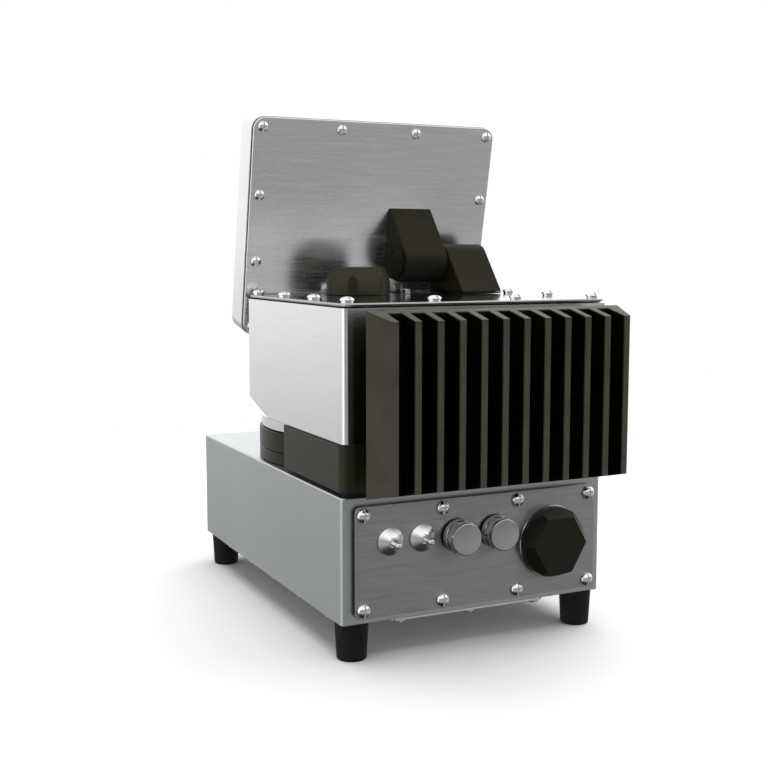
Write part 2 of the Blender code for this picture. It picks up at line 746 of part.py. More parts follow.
def panel_frame(inset):
    """Half width, lower edge and upper edge of the rear panel, set in by the inset."""
    half = BASE_WIDTH / 2 - PANEL_SIDE_MARGIN - inset
    return half, BASE_LOW + PANEL_LOW_MARGIN + inset, BASE_TOP - PANEL_TOP_MARGIN - inset


def panel_opening(name):
    """Cutter for the space inside the rear panel's seal."""
    half, low, high = panel_frame(PANEL_SEAL_WIDTH)
    reach = BASE_WALL + OVERSHOOT
    return box(name, (-half, REAR - reach, low), (half, REAR + reach, high), None, 1, PANEL_CORNER)


def panel_screws(y):
    """Places of the rear panel's screws."""
    half, low, high = panel_frame(PANEL_SCREW_INSET)
    columns = spread(half, -half, PANEL_SCREW_COLUMNS)
    return [facing_rear(x, y, z) for z in (high, low) for x in columns]


def fitting_place(column, row, y):
    """Where a fitting of the rear panel sits, from its column and its row."""
    return facing_rear(column * BASE_WIDTH / 2, y, BASE_LOW + row)


def fitting_holes():
    """The places and radii of the rear panel's holes for its fittings."""
    fittings = [(column, PURGE_HEIGHT, PURGE_SHANK_RADIUS) for column in PURGE_COLUMNS]
    fittings += [(column, PLUG_ROW, PLUG_SHANK_RADIUS) for column in PLUG_COLUMNS]
    fittings.append((SOCKET_CAP_COLUMN, SOCKET_CAP_ROW, SOCKET_CAP_SHANK_RADIUS))
    return [
        (fitting_place(column, row, PANEL_FACE), radius + BORE) for column, row, radius in fittings
    ]


def rear_panel():
    """The rear panel's seal, its plate and the screws that hold it."""
    half, low, high = panel_frame(PANEL_SEAL_INSET)
    start = REAR + SEAT
    end = start + PANEL_SEAL
    seal = box("rear_panel_seal", (-half, start, low), (half, end, high), BLACK_RUBBER, 1, PANEL_CORNER)
    screw_hole = SCREW_SHANK_RADIUS + BORE
    cut(seal, panel_opening("seal_rear_opening"))
    cut(seal, drill("seal_panel_holes", screw_hole, PANEL_SEAL + OVERSHOOT, panel_screws(end)))
    half, low, high = panel_frame(0)
    plate = box(
        "rear_panel", (-half, PANEL_BACK, low), (half, PANEL_FACE, high), BRUSHED_STEEL, 1, PANEL_CORNER
    )
    depth = PANEL_PLATE + OVERSHOOT
    cut(plate, drill("plate_panel_holes", screw_hole, depth, panel_screws(PANEL_FACE)))
    for number, (place, radius) in enumerate(fitting_holes()):
        cut(plate, drill(f"fitting_hole_{number}", radius, depth, [place]))
    panel_screw_pieces()


def panel_screw_pieces():
    """The eight slotted screws that hold the rear panel."""
    foot = [(SCREW_HEAD_RADIUS, 0), (SCREW_SHANK_RADIUS, 0)]
    foot += [(SCREW_SHANK_RADIUS, -SCREW_SHANK_LENGTH), (0, -SCREW_SHANK_LENGTH)]
    profile = dome(SCREW_HEAD_RADIUS, SCREW_HEAD_HEIGHT, SCREW_RIM) + foot
    master = turned("panel_screw_one", profile, SLOTTED_STEPS, None)
    cut(master, slot_cutter("panel_screw_slot", SCREW_HEAD_RADIUS, SCREW_HEAD_HEIGHT))
    mesh = evaluated_mesh(master)
    mesh.materials.append(material_for("panel_screw", POLISHED_STEEL))
    for number, place in enumerate(panel_screws(PANEL_FACE + SEAT), 1):
        add_object(f"rear_panel_screw_{number}", mesh, POLISHED_STEEL, place)


def purge_fittings():
    """Two domed fittings, each with a thin stub out of its middle."""
    profile = [(0, PURGE_REACH), (PURGE_STUB_RADIUS, PURGE_REACH)]
    profile.append((PURGE_STUB_RADIUS, PURGE_DOME - PURGE_WELL_DEPTH))
    start = math.asin((PURGE_STUB_RADIUS + PURGE_WELL_WIDTH) / PURGE_RADIUS)
    for step in range(DOME_STEPS + 1):
        angle = start + (math.pi / 2 - start) * step / DOME_STEPS
        height = PURGE_RIM + (PURGE_DOME - PURGE_RIM) * math.cos(angle)
        profile.append((PURGE_RADIUS * math.sin(angle), height))
    shank_end = -PANEL_PLATE - SEAT - FITTING_SHANK_LENGTH
    profile += [(PURGE_RADIUS, 0), (PURGE_SHANK_RADIUS, 0)]
    profile += [(PURGE_SHANK_RADIUS, shank_end), (0, shank_end)]
    for number, column in enumerate(PURGE_COLUMNS, 1):
        place = fitting_place(column, PURGE_HEIGHT, PANEL_FACE + SEAT)
        turned(f"purge_fitting_{number}", profile, FITTING_STEPS, POLISHED_STEEL, place)


def plugs():
    """Two hexagonal plugs, each on a black sealing ring."""
    seal = ring_profile(
        PLUG_SEAL_RADIUS, PLUG_SHANK_RADIUS + BORE, 0, PLUG_SEAL_HEIGHT, PLUG_SEAL_HEIGHT / 3
    )
    body_low = PLUG_SEAL_HEIGHT + SEAT
    collar_top = body_low + PLUG_COLLAR_HEIGHT
    shank_end = -PANEL_PLATE - SEAT - FITTING_SHANK_LENGTH
    collar = [(0, collar_top), (PLUG_COLLAR_RADIUS, collar_top), (PLUG_COLLAR_RADIUS, body_low)]
    collar += [(PLUG_SHANK_RADIUS, body_low), (PLUG_SHANK_RADIUS, shank_end), (0, shank_end)]
    flank = PLUG_HEX_RADIUS - PLUG_FACE_RADIUS + PLUG_CHAMFER
    limit = [(0, PLUG_HEIGHT), (PLUG_FACE_RADIUS - PLUG_CHAMFER, PLUG_HEIGHT)]
    limit.append((PLUG_FACE_RADIUS, PLUG_HEIGHT - PLUG_CHAMFER))
    limit.append((PLUG_HEX_RADIUS, PLUG_HEIGHT - PLUG_CHAMFER - flank))
    limit += [(PLUG_HEX_RADIUS, body_low), (0, body_low)]
    for number, column in enumerate(PLUG_COLUMNS, 1):
        place = fitting_place(column, PLUG_ROW, PANEL_FACE + SEAT)
        turned(f"plug_seal_{number}", seal, FITTING_STEPS, BLACK_RUBBER, place, closed=True)
        plug = turned(f"hex_plug_{number}", collar, FITTING_STEPS, POLISHED_STEEL, place)
        hexagon = hex_prism(
            f"plug_hex_{number}", PLUG_HEX_RADIUS, collar_top - EMBED, PLUG_HEIGHT, 0, place=place
        )
        rounding = turned(f"plug_limit_{number}", limit, FITTING_STEPS, None, place)
        boolean(hexagon, rounding, "INTERSECT")
        boolean(plug, hexagon, "UNION")


def socket_cap():
    """The black cap on the rear panel and the ring that it is screwed on."""
    inner = (SOCKET_CAP_SHANK_RADIUS + BORE) / math.cos(math.pi / CAP_STEPS)
    height = SOCKET_CAP_RING_HEIGHT
    ring = ring_profile(SOCKET_CAP_RING_RADIUS, inner, 0, height, SMALL_EDGE)
    place = fitting_place(SOCKET_CAP_COLUMN, SOCKET_CAP_ROW, PANEL_FACE + SEAT)
    turned("socket_cap_ring", ring, CAP_STEPS, PALE_ALUMINIUM, place, closed=True)
    shank = height + SEAT + SEAT + PANEL_PLATE + FITTING_SHANK_LENGTH + SEAT
    hex_cap(
        "socket_cap",
        SOCKET_CAP_RADIUS,
        SOCKET_CAP_HEIGHT,
        SOCKET_CAP_SKIRT,
        SOCKET_CAP_SHANK_RADIUS,
        shank,
        fitting_place(SOCKET_CAP_COLUMN, SOCKET_CAP_ROW, PANEL_FACE + 2 * SEAT + height),
    )


def interface_board():
    """The board behind the rear panel that its fittings end on, with the loom's socket.

    It returns the height of the socket's upper face.
    """
    face = PANEL_BACK - FITTING_SHANK_LENGTH - SEAT
    _, low, high = panel_frame(PANEL_SEAL_WIDTH)
    middle = (low + high) / 2
    half = BASE_WIDTH / 2 - INTERFACE_BOARD_MARGIN
    reach = INTERFACE_BOARD_HEIGHT / 2
    board = box(
        "interface_board",
        (-half, face - BOARD_THICKNESS, middle - reach),
        (half, face, middle + reach),
        CIRCUIT_BOARD,
    )
    top = middle + reach
    wide = LOOM_RADIUS + LOOM_SOCKET_WALL
    socket = box(
        "interface_socket",
        (DUCT_X - wide, DUCT_Y - wide, top - 2 * wide),
        (DUCT_X + wide, face - BOARD_THICKNESS / 2, top + EMBED),
        None,
    )
    boolean(board, socket, "UNION")
    return top + EMBED


def power_supply():
    """The power supply, hung from the base's upper wall on four bosses."""
    half = BASE_WIDTH / 2 - SUPPLY_SIDE_MARGIN
    top = BASE_TOP - BASE_WALL - SEAT - STANDOFF_HEIGHT
    front = FRONT + SUPPLY_FRONT_INSET
    rear = front + SUPPLY_LENGTH
    body = box(
        "power_supply",
        (-half, front, top - SUPPLY_HEIGHT),
        (half, rear, top),
        PALE_ALUMINIUM,
        2,
        SUPPLY_CORNER,
    )
    boolean(body, standoffs("supply_standoffs", half, front, rear, top), "UNION")


def standoffs(name, half, front, rear, z):
    """Four round bosses near the corners of a housing's upper face."""
    profile = disc_profile(STANDOFF_RADIUS, -EMBED, STANDOFF_HEIGHT)
    boss = turned(name + "_one", profile, SCREW_STEPS, None)
    x = half - STANDOFF_INSET
    rows = (front + STANDOFF_INSET, rear - STANDOFF_INSET)
    places = [Matrix.Translation((side * x, y, z)) for y in rows for side in (1, -1)]
    return repeated(name, boss, places)


def turntable():
    """The fixed ring with the spindle's bearing, the turntable, its spindle and its motor."""
    axis = Matrix.Translation((0, DISH_AXIS_Y, 0))
    ring_top = LOWER_RING_LOW + LOWER_RING_HEIGHT
    seat = (BEARING_RADIUS + BORE) / math.cos(math.pi / RING_STEPS)
    section = ring_profile(RING_RADIUS, seat, LOWER_RING_LOW, ring_top, RING_CHAMFER)
    turned("turntable_base_ring", section, RING_STEPS, BLACK_ANODISED, axis, closed=True)
    bore_radius = (SPINDLE_RADIUS + BORE) / math.cos(math.pi / FITTING_STEPS)
    section = ring_profile(BEARING_RADIUS, bore_radius, LOWER_RING_LOW, ring_top - BEARING_DROP)
    turned("spindle_bearing", section, FITTING_STEPS, POLISHED_STEEL, axis, closed=True)
    low = TURNTABLE_LOW
    top = low + TURNTABLE_HEIGHT
    boss_top = top + TURNTABLE_BOSS_HEIGHT
    rim = RING_RADIUS - RING_CHAMFER
    socket = (SPINDLE_RADIUS + BORE) / math.cos(math.pi / RING_STEPS)
    socket_top = low + SPINDLE_SOCKET_DEPTH
    profile = [(0, boss_top), (TURNTABLE_BOSS_RADIUS, boss_top), (TURNTABLE_BOSS_RADIUS, top)]
    profile += [(rim, top), (RING_RADIUS, top - RING_CHAMFER)]
    profile += [(RING_RADIUS, low + RING_CHAMFER), (rim, low)]
    profile += [(socket, low), (socket, socket_top), (0, socket_top)]
    turned("turntable", profile, RING_STEPS, BLACK_ANODISED, axis)
    motor_top = BASE_TOP - BASE_WALL - SEAT
    motor_low = motor_top - MOTOR_HEIGHT
    spindle = disc_profile(SPINDLE_RADIUS, motor_low + SPINDLE_RISE, socket_top - SEAT, SMALL_EDGE)
    turned("turntable_spindle", spindle, FITTING_STEPS, POLISHED_STEEL, axis)
    half = MOTOR_WIDTH / 2
    motor = box(
        "drive_motor",
        (-half, DISH_AXIS_Y - half, motor_low),
        (half, DISH_AXIS_Y + half, motor_top),
        BLACK_ANODISED,
        2,
        MOTOR_CORNER,
    )
    bore = [Matrix.Translation((0, DISH_AXIS_Y, motor_top))]
    cut(motor, drill("motor_bore", SPINDLE_RADIUS + BORE, MOTOR_HEIGHT + OVERSHOOT, bore))


def sample_dish():
    """A shallow turned dish that a boss of the turntable centres."""
    inner = DISH_RADIUS - DISH_WALL
    recess = TURNTABLE_BOSS_RADIUS + BORE
    island = recess + DISH_WALL
    rise = TURNTABLE_BOSS_HEIGHT + SEAT
    profile = [(0, rise + DISH_FLOOR), (island, rise + DISH_FLOOR), (island, DISH_FLOOR)]
    profile += [(inner - DISH_EDGE, DISH_FLOOR), (inner, DISH_FLOOR + DISH_EDGE), (inner, DISH_HEIGHT)]
    profile += [(DISH_RADIUS, DISH_HEIGHT), (DISH_RADIUS, DISH_EDGE), (DISH_RADIUS - DISH_EDGE, 0)]
    profile += [(recess, 0), (recess, rise - SEAT), (0, rise - SEAT)]
    place = Matrix.Translation((0, DISH_AXIS_Y, DISH_LOW))
    turned("sample_dish", profile, RING_STEPS, POLISHED_STEEL, place)


def block_form(name, inset, low, high, finish, corner):
    """The support block's outline between two heights, cleared round the turntable."""
    half = HEAD_WIDTH / 2 - inset
    rear = HEAD_REAR - inset
    front = HEAD_REAR - BLOCK_LENGTH + inset
    bm = box_bmesh((-half, front, low), (half, rear, high))

    def rear_corner(first, second):
        return along(2)(first, second) and first.y > (front + rear) / 2

    bevel_edges(bm, rear_corner, corner, 2 * CORNER_STEPS)
    if not inset:
        bevel_edges(bm, on_plane(2, low), BLOCK_LOW_CHAMFER, 1)
    block = add_object(name, mesh_of(name, bm), finish)
    radius = RING_RADIUS + BLOCK_RING_GAP + inset
    facet_radius = radius / math.cos(math.pi / RING_STEPS)
    bore = disc_profile(facet_radius, low - OVERSHOOT, high + OVERSHOOT)
    place = Matrix.Translation((0, DISH_AXIS_Y, 0))
    cut(block, turned(name + "_ring_space", bore, RING_STEPS, None, place))
    cut(block, duct_hole(name + "_duct", high, high - low + OVERSHOOT))
    return block


def duct_hole(name, top, depth):
    """Cutter for the duct that the loom runs through, down from this height."""
    return drill(name, DUCT_RADIUS, depth, [Matrix.Translation((DUCT_X, DUCT_Y, top))])


def support_block():
    """The block that carries the head, and the seal in the shadow gap below it."""
    low = BASE_TOP + SEAT
    high = low + BLOCK_SEAL
    seal_corner = BLOCK_REAR_CORNER - BLOCK_SEAL_INSET
    block_form("support_seal", BLOCK_SEAL_INSET, low, high, BLACK_RUBBER, seal_corner)
    block_low = high + SEAT
    block_form("support_block", 0, block_low, HEAD_LOW - SEAT, BLACK_ANODISED, BLOCK_REAR_CORNER)


def head_form(name, wall, floor, top, finish, corner):
    """The head's outer form, set in by a wall and a floor, up to a height."""
    half = HEAD_WIDTH / 2 - wall
    bm = box_bmesh(
        (-half, HEAD_FRONT + wall, HEAD_LOW + floor), (half, HEAD_REAR - wall, top), 2, corner
    )
    slope = Vector((0, -HEAD_CHAMFER_RISE, -HEAD_CHAMFER_LENGTH)).normalized()
    start = Vector((0, HEAD_FRONT + HEAD_CHAMFER_LENGTH, HEAD_LOW)) - slope * floor
    geometry = bm.verts[:] + bm.edges[:] + bm.faces[:]
    bmesh.ops.bisect_plane(bm, geom=geometry, plane_co=start, plane_no=slope, clear_outer=True)
    rim = [edge for edge in bm.edges if edge.is_boundary]
    bmesh.ops.holes_fill(bm, edges=rim)
    bmesh.ops.recalc_face_normals(bm, faces=bm.faces)
    return add_object(name, mesh_of(name, bm), finish)


def window_place(z):
    """The measuring window's axis, over the ring that the turning dish carries past."""
    return Matrix.Translation((0, WINDOW_Y, z))


def head_housing():
    """The measuring head's housing: open above, with a bore for the window in its floor."""
    head = head_form("head_housing", 0, 0, HEAD_TOP, BRUSHED_STEEL, HEAD_CORNER)
    rim_low = HEAD_TOP - HEAD_RIM_HEIGHT
    cut(head, head_form("head_cavity", HEAD_WALL, HEAD_FLOOR, rim_low, None, HEAD_CORNER))
    cut(head, head_opening("head_top_opening", rim_low - HEAD_RIM_HEIGHT / 2))
    floor = HEAD_LOW + HEAD_FLOOR
    lens = WINDOW_RADIUS - WINDOW_LIP
    cut(head, drill("head_window_bore", lens, 2 * HEAD_FLOOR, [window_place(floor)]))
    seat = drill("head_window_seat", WINDOW_RADIUS + BORE, HEAD_FLOOR / 2, [window_place(floor)])
    cut(head, seat, duct_hole("head_duct", floor, 2 * HEAD_FLOOR))


def head_opening(name, low):
    """Cutter for the opening in the top of the head, inside the lid's seal."""
    half = HEAD_WIDTH / 2 - HEAD_RIM_WIDTH
    return box(
        name,
        (-half, HEAD_FRONT + HEAD_RIM_WIDTH, low),
        (half, HEAD_REAR - HEAD_RIM_WIDTH, LID_TOP),
        None,
        2,
        LID_CORNER,
    )


def lid():
    """The lid's seal, the lid with its twelve screws, and the earth screw."""
    half = HEAD_WIDTH / 2
    low = HEAD_TOP + SEAT
    inset = LID_SEAL_INSET
    seal = box(
        "lid_seal",
        (-half + inset, HEAD_FRONT + inset, low),
        (half - inset, HEAD_REAR - inset, low + LID_SEAL),
        BLACK_RUBBER,
        2,
        LID_CORNER - inset,
    )
    cut(seal, head_opening("lid_seal_opening", HEAD_TOP - HEAD_RIM_HEIGHT))
    plate = box(
        "lid", (-half, HEAD_FRONT, LID_LOW), (half, HEAD_REAR, LID_TOP), POLISHED_STEEL, 2, LID_CORNER
    )
    depth = LID_PLATE + OVERSHOOT
    cap_hole = LAMP_CAP_SHANK_RADIUS + BORE
    cut(plate, drill("lid_cap_hole", cap_hole, depth, [lid_place(LAMP_CAP, LID_TOP)]))
    earth_hole = SCREW_SHANK_RADIUS + BORE
    cut(plate, drill("lid_earth_hole", earth_hole, depth, [lid_place(EARTH_SCREW, LID_TOP)]))
    points = perimeter(
        half - LID_SCREW_SIDE_INSET,
        HEAD_FRONT + LID_SCREW_FRONT_INSET,
        HEAD_REAR - LID_SCREW_REAR_INSET,
        PERIMETER_SCREWS,
    )
    neck = LID_SCREW_NECK_HEIGHT
    profile = [
        (radius, height + neck)
        for radius, height in dome(SCREW_HEAD_RADIUS, LID_SCREW_HEIGHT - neck, SCREW_RIM)
    ]
    profile += [(SCREW_HEAD_RADIUS, neck), (LID_SCREW_NECK_RADIUS, neck)]
    profile += [(LID_SCREW_NECK_RADIUS, -EMBED), (0, -EMBED)]
    master = turned("lid_screw_one", profile, SCREW_STEPS, None)
    places = [Matrix.Translation((x, y, LID_TOP)) for x, y in points]
    boolean(plate, repeated("lid_screws", master, places), "UNION")
    profile = disc_profile(EARTH_SCREW_RADIUS, 0, EARTH_SCREW_HEIGHT, SMALL_EDGE)[:-1]
    profile += [(SCREW_SHANK_RADIUS, 0), (SCREW_SHANK_RADIUS, -SCREW_SHANK_LENGTH)]
    profile += [(0, -SCREW_SHANK_LENGTH)]
    place = lid_place(EARTH_SCREW, LID_TOP + SEAT)
    turned("earth_screw", profile, FITTING_STEPS, POLISHED_STEEL, place)


def lid_place(point, z):
    """A place on the lid, from x and the distance from the head's front."""
    x, from_front = point
    return Matrix.Translation((x, HEAD_FRONT + from_front, z))


def lamp():
    """The cap on the lid, the holder below it and the lamp in the holder."""
    hex_cap(
        "lamp_cap",
        LAMP_CAP_RADIUS,
        LAMP_CAP_HEIGHT,
        LAMP_CAP_SKIRT,
        LAMP_CAP_SHANK_RADIUS,
        LAMP_CAP_SHANK_LENGTH,
        lid_place(LAMP_CAP, LID_TOP + SEAT),
    )
    outer = LAMP_HOLDER_RADIUS
    inner = outer - LAMP_HOLDER_WALL
    floor = LAMP_HOLDER_WALL - LAMP_HOLDER_LENGTH
    profile = [(0, floor), (inner, floor), (inner, 0), (outer, 0), (outer, -LAMP_HOLDER_LENGTH)]
    profile += [(0, -LAMP_HOLDER_LENGTH)]
    holder = lid_place(LAMP_CAP, LID_LOW - SEAT)
    turned("lamp_holder", profile, CAP_STEPS, BRASS, holder)
    low = floor + SEAT
    bulb_radius = LAMP_RADIUS - LAMP_BASE
    bulb = [
        (radius, low + height)
        for radius, height in dome(bulb_radius, LAMP_LENGTH, LAMP_LENGTH / 2)
    ]
    bulb += [(bulb_radius, low + LAMP_BASE), (LAMP_RADIUS, low + LAMP_BASE)]
    bulb += [(LAMP_RADIUS, low), (0, low)]
    turned("lamp", bulb, FITTING_STEPS, PALE_ALUMINIUM, holder)


def optics():
    """The measuring window, its retaining ring, the spectrometer module and the main board.

    It returns the height of the board's lower face.
    """
    floor = HEAD_LOW + HEAD_FLOOR
    window_low = floor - HEAD_FLOOR / 2 + SEAT
    pane = disc_profile(WINDOW_RADIUS, 0, WINDOW_THICKNESS)
    turned("measuring_window", pane, CAP_STEPS, GLASS, window_place(window_low))
    ring_low = max(window_low + WINDOW_THICKNESS, floor) + SEAT
    outer = WINDOW_RADIUS + RETAINER_WIDTH
    ring = ring_profile(outer, WINDOW_RADIUS - WINDOW_LIP, 0, RETAINER_HEIGHT)
    turned("window_retainer", ring, CAP_STEPS, PALE_ALUMINIUM, window_place(ring_low), closed=True)
    low = ring_low + RETAINER_HEIGHT + SEAT
    high = low + SPECTROMETER_HEIGHT
    half = HEAD_WIDTH / 2 - SPECTROMETER_SIDE_MARGIN
    front = HEAD_FRONT + LAMP_CAP[1] + LAMP_HOLDER_RADIUS + SPECTROMETER_LAMP_GAP
    rear = HEAD_REAR - HEAD_WALL - MAIN_BOARD_REAR_INSET
    module = box(
        "spectrometer_module",
        (-half, front, low),
        (half, rear, high),
        PALE_ALUMINIUM,
        2,
        SPECTROMETER_CORNER,
    )
    entry = [facing_down(0, WINDOW_Y, low)]
    depth = SPECTROMETER_HEIGHT / 2
    cut(module, drill("spectrometer_entry", SPECTROMETER_ENTRY_RADIUS, depth, entry))
    boolean(module, standoffs("module_standoffs", half, front, rear, high), "UNION")
    board_low = high + STANDOFF_HEIGHT + SEAT
    main_board(front, rear, board_low)
    return board_low


def main_board(front, rear, low):
    """The board on the spectrometer module, with four large components."""
    half = HEAD_WIDTH / 2 - MAIN_BOARD_SIDE_MARGIN
    top = low + BOARD_THICKNESS
    far = rear + LOOM_RADIUS
    board = box("main_board", (-half, front, low), (half, far, top), CIRCUIT_BOARD)
    reach = CHIP_WIDTH / 2
    for column in CHIP_COLUMNS:
        for row in CHIP_ROWS:
            x = column * 2 * half
            y = (front + far) / 2 + row * (far - front)
            chip = box(
                f"board_chip_{column}_{row}",
                (x - reach, y - reach, low + EMBED),
                (x + reach, y + reach, top + CHIP_HEIGHT),
                None,
            )
            boolean(board, chip, "UNION")


def wiring_loom(low, high):
    """The loom from the interface board up through the block to the main board."""
    curve = bpy.data.curves.new("wiring_loom", "CURVE")
    curve.dimensions = "3D"
    curve.bevel_depth = LOOM_RADIUS
    curve.bevel_resolution = 2
    curve.use_fill_caps = True
    spline = curve.splines.new("POLY")
    spline.points.add(1)
    for point, z in zip(spline.points, (low + SEAT, high - SEAT)):
        point.co = (DUCT_X, DUCT_Y, z, 1)
    curve.materials.append(material_for("wiring_loom", BLACK_RUBBER))
    obj = bpy.data.objects.new("wiring_loom", curve)
    PARTS.objects.link(obj)


def heat_sink():
    """The finned heat sink, tapered towards its tips, and the spacer that carries it."""
    root = HEAD_REAR + SPACER_DEPTH
    tip = root + SINK_DEPTH
    half = SINK_ROOT_WIDTH / 2
    low = BASE_TOP + SINK_LOW
    high = low + SINK_ROOT_HEIGHT
    bm = box_bmesh((-half, root, low), (half, tip, high))
    for vert in bm.verts:
        if vert.co.y > (root + tip) / 2:
            vert.co.x -= math.copysign(SINK_DRAFT_SIDE, vert.co.x)
            vert.co.z += SINK_DRAFT_END if vert.co.z < (low + high) / 2 else -SINK_DRAFT_END
    sink = add_object("heat_sink", mesh_of("heat_sink", bm), BLACK_ANODISED)
    floor = root + SINK_FLOOR
    depth = tip - floor
    narrow = FIN_PITCH - FIN_ROOT
    growth = (FIN_ROOT - FIN_TIP) / depth
    cutter_depth = depth + OVERSHOOT
    wide = narrow + growth * cutter_depth
    bm = bmesh.new()
    for index in range(FIN_COUNT - 1):
        x = (index - (FIN_COUNT - 2) / 2) * FIN_PITCH
        made = bmesh.ops.create_cube(bm, size=1)["verts"]
        for vert in made:
            width = wide if vert.co.y > 0 else narrow
            vert.co.x = x + math.copysign(width / 2, vert.co.x)
            vert.co.y = floor + (cutter_depth if vert.co.y > 0 else 0)
            vert.co.z = high + OVERSHOOT if vert.co.z > 0 else low - OVERSHOOT
    cut(sink, add_object("fin_gaps", mesh_of("fin_gaps", bm), None))
    spacer_low = HEAD_LOW + SPACER_LOW
    box(
        "heat_sink_spacer",
        (-SPACER_WIDTH / 2, HEAD_REAR + SEAT, spacer_low),
        (SPACER_WIDTH / 2, root - SEAT, spacer_low + SPACER_HEIGHT),
        BLACK_ANODISED,
    )


def tangent_point(point, radius, side):
    """Where the tangent from a point touches the circle round the origin.

    Side is 1 for the touch that lies anticlockwise of the point and -1 for the other.
    """
    point = Vector(point)
    reach = math.acos(radius / point.length)
    direction = point.normalized() * radius
    return Matrix.Rotation(side * reach, 2) @ direction


def arc_between(start, end, turn):
    """Points round the origin from start to end, anticlockwise for a turn of 1."""
    first = math.atan2(start[1], start[0])
    sweep = (math.atan2(end[1], end[0]) - first) * turn % (2 * math.pi)
    radius = Vector(start).length
    steps = max(2, round(sweep / math.radians(12)))
    angles = [first + turn * sweep * step / steps for step in range(steps + 1)]
    return [(radius * math.cos(angle), radius * math.sin(angle)) for angle in angles]


def across(x, width):
    """A place for an outline in the YZ plane that runs along X from x, by this width."""
    turn = Matrix(((0, 0, 1, 0), (1, 0, 0, 0), (0, 1, 0, 0), (0, 0, 0, 1)))
    return Matrix.Translation((x + width / 2, 0, 0)) @ turn


def hinge():
    """The bracket on the lid, its seal and the pin that the display turns on."""
    foot_low = -AXIS_ABOVE_LID + SEAT + BRACKET_SEAL + SEAT
    rear_foot = (BRACKET_REAR_REACH, foot_low)
    front_foot = (-BRACKET_FRONT_REACH, foot_low)
    rear_touch = tangent_point(rear_foot, HINGE_RADIUS, 1)
    front_touch = tangent_point(front_foot, HINGE_RADIUS, -1)
    outline = [front_foot, rear_foot] + arc_between(rear_touch, front_touch, 1)
    start = ARM_START - ARM_WIDTH - KNUCKLE_GAP - BRACKET_WIDTH
    axis = Matrix.Translation((0, AXIS_Y, AXIS_Z))
    place = axis @ across(start, BRACKET_WIDTH)
    bracket = extruded("hinge_bracket", outline, BRACKET_WIDTH, BLACK_ANODISED, place)
    along_x = Matrix.Rotation(math.pi / 2, 4, "Y")
    bore_top = axis @ Matrix.Translation((start + BRACKET_WIDTH, 0, 0)) @ along_x
    cut(bracket, drill("bracket_bore", PIN_RADIUS + BORE, BRACKET_WIDTH + OVERSHOOT, [bore_top]))
    inset = BRACKET_SEAL_INSET
    low = LID_TOP + SEAT
    box(
        "bracket_seal",
        (start + inset, AXIS_Y - BRACKET_FRONT_REACH + inset, low),
        (start + BRACKET_WIDTH - inset, AXIS_Y + BRACKET_REAR_REACH - inset, low + BRACKET_SEAL),
        BLACK_RUBBER,
    )
    length = ARM_START - start
    head = SEAT + PIN_HEAD
    profile = [(0, head), (PIN_HEAD_RADIUS - SMALL_EDGE, head), (PIN_HEAD_RADIUS, head - SMALL_EDGE)]
    profile += [(PIN_HEAD_RADIUS, SEAT), (PIN_RADIUS, SEAT), (PIN_RADIUS, -length), (0, -length)]
    place = axis @ Matrix.Translation((ARM_START, 0, 0)) @ along_x
    turned("hinge_pin", profile, FITTING_STEPS, BLACK_ANODISED, place)


def display_pivot():
    """The empty on the hinge's axis that carries the display, tilted as the display is."""
    pivot = bpy.data.objects.new("display_pivot", None)
    CUTTERS.objects.link(pivot)
    pivot.location = (0, AXIS_Y, AXIS_Z)
    pivot.rotation_euler = (-DISPLAY_TILT, 0, 0)
    return pivot


def display_arm(pivot):
    """The wedge-shaped arm between the hinge pin and the display's back plate."""
    plate = SEAT - PLATE_FROM_AXIS
    top = (plate, ARM_HEIGHT_ON_PLATE)
    low = (plate, -HINGE_RADIUS)
    touch = tangent_point(top, HINGE_RADIUS, -1)
    outline = [top, low] + arc_between((0, -HINGE_RADIUS), touch, 1)
    place = across(ARM_START - ARM_WIDTH, ARM_WIDTH)
    arm = extruded("display_arm", outline, ARM_WIDTH, BLACK_ANODISED, place, pivot)
    along_x = Matrix.Rotation(math.pi / 2, 4, "Y")
    place = Matrix.Translation((ARM_START, 0, 0)) @ along_x
    bore = drill("arm_bore", PIN_RADIUS + BORE, ARM_WIDTH + OVERSHOOT, [place], pivot)
    cut(arm, bore)


def display_frame(inset):
    """Half width, lower edge and upper edge of the display, set in by the inset."""
    return DISPLAY_WIDTH / 2 - inset, inset - DISPLAY_BELOW_AXIS, DISPLAY_ABOVE_AXIS - inset


def display_box(name, inset, back, depth, finish, corner, pivot):
    """A rounded plate of the display, from a depth at its back towards the front."""
    half, low, high = display_frame(inset)
    return box(name, (-half, back - depth, low), (half, back, high), finish, 1, corner, pivot)


def display_back(pivot):
    """The display's back plate with its twelve screws, and the seal in front of it."""
    inset = DISPLAY_PLATE_INSET
    plate = display_box(
        "display_back_plate",
        inset,
        PLATE_BACK,
        DISPLAY_PLATE,
        BRUSHED_STEEL,
        DISPLAY_CORNER - inset,
        pivot,
    )
    half, low, high = display_frame(inset + DISPLAY_SCREW_INSET)
    points = perimeter(half, low, high, PERIMETER_SCREWS)
    places = [facing_rear(x, PLATE_BACK, z) for x, z in points]
    fuse_screws(plate, "plate_screws", PLATE_SCREW_RADIUS, PLATE_SCREW_HEIGHT, places, pivot)
    inset = DISPLAY_SEAL_INSET
    corner = DISPLAY_CORNER - inset
    seal = display_box(
        "display_seal", inset, DISPLAY_SEAL_BACK, DISPLAY_SEAL, BLACK_RUBBER, corner, pivot
    )
    depth = DISPLAY_PLATE + 2 * DISPLAY_SEAL
    opening = display_box(
        "display_seal_opening", DISPLAY_BACK_RIM, PLATE_BACK, depth, None, corner, pivot
    )
    cut(seal, opening)


